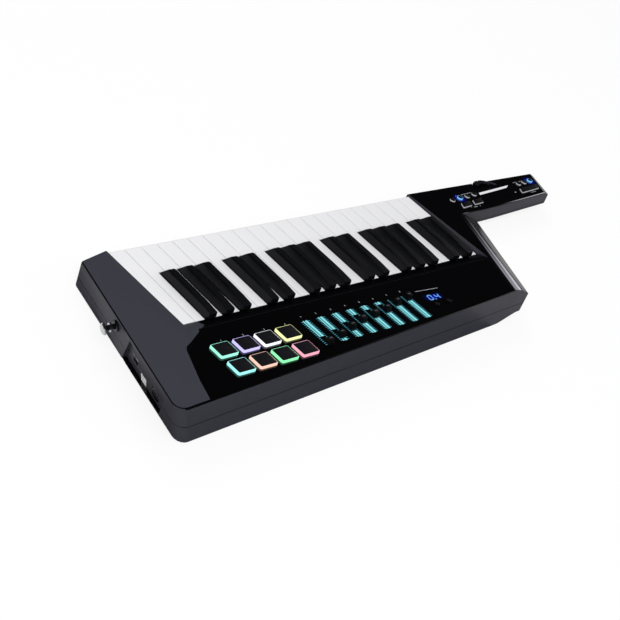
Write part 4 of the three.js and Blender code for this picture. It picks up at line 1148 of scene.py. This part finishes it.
    def card(self, tree, way, low, high, soft):
        """A share that is 1 where a direction lies in a box and falls to 0 over a soft edge."""
        past = self.outside(tree, way, low, high)
        edge = add(tree, "ShaderNodeVectorMath", (past, soft), operation="DIVIDE")
        side = add(tree, "ShaderNodeSeparateXYZ", (edge,)).outputs
        flat = add(tree, "ShaderNodeMath", (side["X"], side["Y"]), operation="MAXIMUM")
        most = add(tree, "ShaderNodeMath", (flat, side["Z"]), operation="MAXIMUM")
        return add(
            tree,
            "ShaderNodeMapRange",
            {"Value": most, "To Min": 1.0, "To Max": 0.0},
            interpolation_type="SMOOTHSTEP",
        )

    def make_lamps(self, scene):
        """A broad softbox behind the camera's left shoulder, and weaker ones right and far."""
        middle = (CAD_BOX[0] + CAD_BOX[1]) / 2
        for name, offset, size, power in SOFTBOXES:
            data = bpy.data.lights.new(name, "AREA")
            data.shape = "SQUARE"
            data.size = size
            data.energy = power
            made = bpy.data.objects.new(name, data)
            made.location = middle + Vector(offset)
            made.rotation_euler = (-Vector(offset)).to_track_quat("-Z", "Y").to_euler()
            made.visible_glossy = False
            scene.collection.objects.link(made)


class KEYBOARD_OT_casing(bpy.types.Operator):
    """Finish the mouldings, the panel, the key bed and the battery door"""

    bl_idname = "keyboard.casing"
    bl_label = "Casing"

    def execute(self, context):
        dress("upper_shell", finish("Two_tone_ABS", two_tone_abs))
        dress("lower_shell", finish("Lower_ABS", lower_abs))
        dress("control_panel", finish("Polished_black_ABS", polished_abs))
        dress("key_bed", finish("Plain_grey_ABS", satin_abs, colour("#5A5D61")))
        satin = finish("Satin_charcoal_ABS", satin_abs, looks().satin)
        dress("battery_door", satin, edge=DOOR_EDGE)
        return {"FINISHED"}


class KEYBOARD_OT_keys(bpy.types.Operator):
    """Finish the long and short keys and round their edges"""

    bl_idname = "keyboard.keys"
    bl_label = "Keys"

    def execute(self, context):
        white = finish("White_SAN_resin", key_white)
        black = finish("Satin_black_phenolic", key_black)
        for name in frame["nodes"]:
            if name.startswith("key_") and name != "key_bed":
                # A short key's name has an s after its letter, as in key_Cs3.
                dress(name, black if "s" in name[4:] else white, edge=looks().edge)
        return {"FINISHED"}


class KEYBOARD_OT_pads(bpy.types.Operator):
    """Make the eight lit silicone pads with their dark printed tops"""

    bl_idname = "keyboard.pads"
    bl_label = "Pads"

    def execute(self, context):
        places = [
            (
                PAD_FIRST + column * PAD_PITCH + PAD_LENGTH / 2,
                PAD_FAR_EDGE - row * PAD_ROW_PITCH - PAD_DEPTH / 2,
            )
            for row, shades in enumerate(PAD_GLOW)
            for column in range(len(shades))
        ]
        half_length, half_depth = PAD_LENGTH / 2, PAD_DEPTH / 2
        outline = rounded(-half_length, half_length, -half_depth, half_depth, PAD_ROUND)
        skirt = plate(bmesh.new(), outline, PAD_SKIRT_LOW, PAD_RISE, edge=PAD_SKIRT_EDGE)
        lit = finish("Lit_silicone", lit_silicone)
        glow = [shade for shades in PAD_GLOW for shade in shades]
        repeated("pad_skirts", places, skirt, TOP, lit, "casing", glow=glow)
        inner = inset(outline, looks().pad_rim / MM)
        top = plate(bmesh.new(), inner, PAD_RISE - PAD_COAT, PAD_RISE + COAT_RISE, edge=COAT_EDGE)
        dark = finish("Printed_dark_silicone", silicone, colour("#121216"))
        repeated("pad_tops", places, top, TOP, dark, "casing")
        sheet = plate(bmesh.new(), rounded(*PAD_SHEET), *PAD_SHEET_LEVELS)
        mat = piece("pad_sheet", sheet, TOP, dark, "casing")
        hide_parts("pad_mat")
        return {"FINISHED"}


class KEYBOARD_OT_sliders(bpy.types.Operator):
    """Make the sliders' light guides, scale ticks, cap lines, and black plates under the caps that paint their
    shade
    """

    bl_idname = "keyboard.sliders"
    bl_label = "Sliders"

    def execute(self, context):
        starts = [SLIDER_FIRST + i * SLIDER_PITCH for i in range(SLIDER_COUNT)]
        self.make_scales(starts)
        grip = finish("Satin_black_cap_ABS", satin_abs, colour("#060608"))
        pale = finish("Grey_print_ink", ink, colour("#77787E"))
        polished = finish("Polished_black_ABS", polished_abs)
        for i, start in enumerate(starts):
            name = f"fader_{i + 1}"
            dress(name, grip, edge=CAP_EDGE)
            low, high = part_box(name)
            centre = TOP.inverted() @ ((low + high) / 2)
            place = TOP @ Matrix.Translation((start, centre.y, 0))
            line = plate(bmesh.new(), rounded(*CAP_LINE, steps=1), *CAP_LINE_LEVELS)
            piece(f"{name}_line", line, place, pale, name)
            # A black plate under each cap, over the light guides: it stands for the cap's wide base, and it is
            # painted shade round the cap.
            outline = rounded(*CAP_BASE_AND_SHADE, steps=3)
            base_and_shade = plate(bmesh.new(), outline, *CAP_BASE_AND_SHADE_LEVELS, edge=CAP_BASE_AND_SHADE_EDGE)
            piece(f"{name}_shutter", base_and_shade, place, polished, name)
        return {"FINISHED"}

    def make_scales(self, starts):
        """A light guide on either side of each slot, and a row of ticks beside each guide."""
        middle = (SLOT_FAR + SLOT_NEAR) / 2
        half = (SLOT_FAR - SLOT_NEAR) / 2
        left, right = GUIDE_EDGES
        bars = bmesh.new()
        for x0, x1 in ((left, -SLOT_HALF), (SLOT_HALF, right)):
            plate(bars, rounded(x0, x1, -half, half, GUIDE_ROUND, steps=2), *GUIDE_LEVELS)
        guide = finish("Cyan_light_guide", lamp, looks().guide, strength=0.95)
        places = [(x, middle) for x in starts]
        repeated("level_guides", places, bars, TOP, guide, "casing")
        step = (SLOT_FAR - SLOT_NEAR - 2 * TICK_MARGIN) / (TICK_COUNT - 1)
        ticks = [
            (x + across, SLOT_FAR - TICK_MARGIN - i * step)
            for x in starts
            for i in range(TICK_COUNT)
            for across in TICK_PLACES
        ]
        dash = plate(bmesh.new(), rounded(*TICK, steps=1), *TICK_LEVELS)
        # The printed ticks are given a glow: painted light on ink.
        scale_ink = finish("Blue_grey_scale_ink", lamp, colour("#5FC4DC"), strength=0.75)
        repeated("slider_ticks", ticks, dash, TOP, scale_ink, "casing")


class KEYBOARD_OT_markings(bpy.types.Operator):
    """Make the readout, its halo, and the printed numbers and lines"""

    bl_idname = "keyboard.markings"
    bl_label = "Readout and Markings"

    def execute(self, context):
        self.make_readout()
        self.make_print()
        return {"FINISHED"}

    def make_readout(self):
        """Two seven-segment digits with a point, leaning a little, behind the smoked panel."""
        lit = finish("Blue_digit_lamp", lamp, looks().lamp, strength=1.0)
        digits = bmesh.new()
        for middle, level, text in DIGITS:
            for across, along in SEGMENTS[text]:
                x = middle + across * DIGIT_LENGTH + along * DIGIT_LEAN
                v = level + along * DIGIT_REACH
                dx, dy = DIGIT_BAR / 2, DIGIT_REACH / 2 - DIGIT_GAPS[0]
                if across == 0:
                    dx, dy = DIGIT_LENGTH / 2 - DIGIT_GAPS[1], DIGIT_BAR / 2
                plate(digits, rounded(x - dx, x + dx, v - dy, v + dy, DIGIT_ROUND, steps=2), *INLAY)
        plate(digits, circle(*DIGIT_POINT, steps=12), *INLAY)
        piece("readout_digits", digits, TOP, lit, "casing")
        shape = bmesh.new()
        x, v = WINDOW_MIDDLE
        dx, dy, radius = WINDOW_CORE
        inner = rounded(x - dx, x + dx, v - dy, v + dy, radius, steps=8)
        fading(shape, inner, WINDOW_MIDDLE, WINDOW_REACH)
        window = finish("Smoked_window", lamp_halo)
        piece("readout_window", shape, TOP, window, "casing")

    def make_print(self):
        """Small grey numbers over the pads and sliders, and thin lines over the buttons."""
        marks = bmesh.new()
        for count, (x, v), pitch in (
            (len(PAD_GLOW[0]), PAD_LABEL, PAD_PITCH),
            (SLIDER_COUNT, SLIDER_LABEL, SLIDER_PITCH),
        ):
            for i in range(count):
                print_text(marks, str(i + 1), NUMBER_SIZE, x + pitch * i, v, PRINT_LEVEL)
        for text, x, v in SIGNS:
            print_text(marks, text, SIGN_SIZE, x, v, PRINT_LEVEL)
        for x0, v0, x1, v1 in RULES:
            lower = [(x0, v0 - RULE_HALF), (x1, v1 - RULE_HALF)]
            upper = [(x1, v1 + RULE_HALF), (x0, v0 + RULE_HALF)]
            plate(marks, lower + upper, *PRINT)
        plate(marks, circle(*DOT, steps=16), *PRINT)
        grey = finish("Pale_print_ink", ink, colour("#C9CAD0"))
        piece("printed_marks", marks, TOP, grey, "casing")


class KEYBOARD_OT_neck(bpy.types.Operator):
    """Make the buttons' dark tops and lamps, and finish the strip, the wheel and the long button"""

    bl_idname = "keyboard.neck"
    bl_label = "Neck Controls"

    def execute(self, context):
        dark = finish("Black_coated_silicone", silicone, colour("#08080A"), shine=0.15)
        pale = finish("Coated_silicone", coated_silicone, colour("#E4E6EC"), colour("#08080A"))
        dress("neck_keypad", pale)
        dress("sustain_button", pale)
        dress("panel_keypad", dark, edge=FINE_EDGE)
        dress("touch_strip", finish("Embossed_polycarbonate", touch_film), edge=FINE_EDGE)
        rubber = finish("Black_wheel_rubber", silicone, colour("#050506"), low=0.6, high=0.75)
        dress("pitch_wheel", rubber)
        self.make_tops(dark)
        self.make_lamps()
        return {"FINISHED"}

    def make_tops(self, dark):
        """Dark coats on the buttons' tops, drawn in by the pale rim that stays bare."""
        rim = looks().button_rim / MM
        round_tops = [circle(x, v, BUTTON_RADIUS - rim) for x, v in ROUND_BUTTONS + END_BUTTONS]
        long_tops = [bar(*place, rim) for place in OCTAVE_BUTTONS]
        for name, outlines, body, slot in (
            ("neck_button_tops", round_tops + long_tops, "casing", "silicone_pale"),
            ("sustain_top", [bar(*SUSTAIN_BUTTON, rim)], "sustain_button", "silicone_dark"),
        ):
            coats = bmesh.new()
            low, high = BUTTON_RISE - BUTTON_COAT, BUTTON_RISE + COAT_RISE
            for outline in outlines:
                plate(coats, outline, low, high, edge=COAT_EDGE)
            piece(name, coats, TOP, dark, body)

    def make_lamps(self):
        """Glowing rings round the lit buttons, and the light that they shed into the panel."""
        rim = looks().button_rim / MM
        lamps = bmesh.new()
        halos = bmesh.new()
        for x, v in LIT_BUTTONS:
            outer = circle(x, v, BUTTON_RADIUS + BUTTON_RING[0])
            inner = circle(x, v, BUTTON_RADIUS + BUTTON_RING[1] - rim)
            tube(lamps, outer, inner, *BUTTON_RING_LEVELS)
            ring = circle(x, v, BUTTON_RADIUS + BUTTON_GLOW_START)
            fading(halos, ring, (x, v), BUTTON_GLOW_REACH, solid=False)
        lit = finish("Blue_button_lamp", lamp, looks().lamp, strength=1.0)
        piece("lit_button_rims", lamps, TOP, lit, "casing")
        window = finish("Smoked_window", lamp_halo)
        piece("button_windows", halos, TOP, window, "casing")


class KEYBOARD_OT_ports(bpy.types.Operator):
    """Make the sockets' faces and contacts, and finish the switch and the strap pins"""

    bl_idname = "keyboard.ports"
    bl_label = "Sockets and Strap Pins"

    def execute(self, context):
        black = finish("Black_nylon", nylon, colour("#141417"))
        metal = finish("Chromium_plate", chrome)
        dress("jack_board", black)
        dress("power_switch", black, edge=FINE_EDGE)
        dress("strap_pin_body", finish("Plated_strap_pin", plated_pin))
        dress("strap_pin_neck", metal)
        self.make_square_socket()
        self.make_round_socket(metal)
        words = bmesh.new()
        for text, x in SWITCH_WORDS:
            print_text(words, text, WORD_SIZE, x, WORD_HEIGHT, WORD_LEVEL)
        turned = PORTS @ Matrix.Rotation(math.pi, 4, "Y")
        pale = finish("Pale_print_ink", ink, colour("#C9CAD0"))
        piece("switch_words", words, turned, pale, "casing")
        return {"FINISHED"}

    def make_square_socket(self):
        """A collar on the socket face, its lined opening and the tongue inside."""
        collar, opening, liner, tongue = (
            rounded(-x, x, -y, y, radius, steps=2)
            for x, y, radius in (USB_COLLAR, USB_OPENING, USB_LINER, USB_TONGUE)
        )
        back, front = USB_COLLAR_LEVELS
        rings = (
            (collar, back),
            (collar, front),
            (opening, front),
            (opening, USB_DEPTH),
            (liner, USB_DEPTH),
            (liner, back),
        )
        usb = loft(bmesh.new(), [at_height(ring, depth) for ring, depth in rings], cyclic=True)
        plate(usb, tongue, *USB_TONGUE_LEVELS)
        white = finish("White_nylon", nylon, colour("#F2F2EE"))
        piece("usb_housing", usb, PORTS, white, "casing")

    def make_round_socket(self, metal):
        """The round socket's shield and its five contact sleeves."""
        contacts = bmesh.new()
        x, y = ROUND_SOCKET
        shield = (circle(x, y, radius, steps=40) for radius in ROUND_SHIELD)
        tube(contacts, *shield, *ROUND_SHIELD_LEVELS)
        for angle in CONTACT_ANGLES:
            turn = math.radians(angle)
            spot = (x + CONTACT_CIRCLE * math.cos(turn), y + CONTACT_CIRCLE * math.sin(turn))
            sleeve = (circle(*spot, radius, steps=16) for radius in CONTACT)
            tube(contacts, *sleeve, *CONTACT_LEVELS)
        piece("round_socket_contacts", contacts, PORTS, metal, "casing")


class KEYBOARD_OT_underside(bpy.types.Operator):
    """Make the screws and rubber feet of the base, and the battery door's grip ribs"""

    bl_idname = "keyboard.underside"
    bl_label = "Underside"

    def execute(self, context):
        outer, inner, floor = (circle(0, 0, r, steps=24) for r in (*SCREW_HEAD, SCREW_SOCKET[0]))
        head = bmesh.new()
        tube(head, outer, inner, *SCREW_LEVELS)
        plate(head, floor, SCREW_SOCKET[1], SCREW_LEVELS[1])
        # Oxide-blackened steel has the dull dark sheen of a moulding, not a metal's mirror.
        steel = finish("Blackened_steel", nylon, colour("#1B1B1E"))
        repeated("base_screws", SCREWS, head, BASE, steel, "casing")
        foot = plate(bmesh.new(), circle(0, 0, FOOT_RADIUS), *FOOT_LEVELS, edge=FOOT_EDGE)
        rubber = finish("Black_foot_rubber", silicone, colour("#1A1A1C"))
        repeated("base_feet", FEET, foot, BASE, rubber, "casing")
        rib = plate(bmesh.new(), rounded(*RIB, steps=2), *RIB_LEVELS)
        x, y = RIB_FIRST
        ribs = [(x, y + RIB_PITCH * i) for i in range(RIB_COUNT)]
        satin = finish("Satin_charcoal_ABS", satin_abs, looks().satin)
        repeated("battery_door_ribs", ribs, rib, BASE, satin, "battery_door")
        return {"FINISHED"}


class KEYBOARD_PT_looks(bpy.types.Panel):
    """Lists the keyboard's sizes, colours and steps"""

    bl_label = "Shoulder Keyboard"
    bl_idname = "KEYBOARD_PT_looks"
    bl_space_type = "VIEW_3D"
    bl_region_type = "UI"
    bl_category = "Keyboard"

    def draw(self, context):
        values = context.scene.keyboard_looks
        for name in KeyboardLooks.__annotations__:
            self.layout.prop(values, name)
        for operator in OPERATORS:
            self.layout.operator(operator.bl_idname)


OPERATORS = (
    KEYBOARD_OT_stage,
    KEYBOARD_OT_casing,
    KEYBOARD_OT_keys,
    KEYBOARD_OT_pads,
    KEYBOARD_OT_sliders,
    KEYBOARD_OT_markings,
    KEYBOARD_OT_neck,
    KEYBOARD_OT_ports,
    KEYBOARD_OT_underside,
)
CLASSES = (KeyboardLooks, *OPERATORS, KEYBOARD_PT_looks)


def register():
    for cls in CLASSES:
        bpy.utils.register_class(cls)
    bpy.types.Scene.keyboard_looks = bpy.props.PointerProperty(type=KeyboardLooks)


def unregister():
    del bpy.types.Scene.keyboard_looks
    for cls in reversed(CLASSES):
        bpy.utils.unregister_class(cls)


def main():
    """Registers the add-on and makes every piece."""
    register()
    bpy.ops.keyboard.stage()
    bpy.ops.keyboard.casing()
    bpy.ops.keyboard.keys()
    bpy.ops.keyboard.pads()
    bpy.ops.keyboard.sliders()
    bpy.ops.keyboard.markings()
    bpy.ops.keyboard.neck()
    bpy.ops.keyboard.ports()
    bpy.ops.keyboard.underside()


if __name__ == "__main__":
    main()
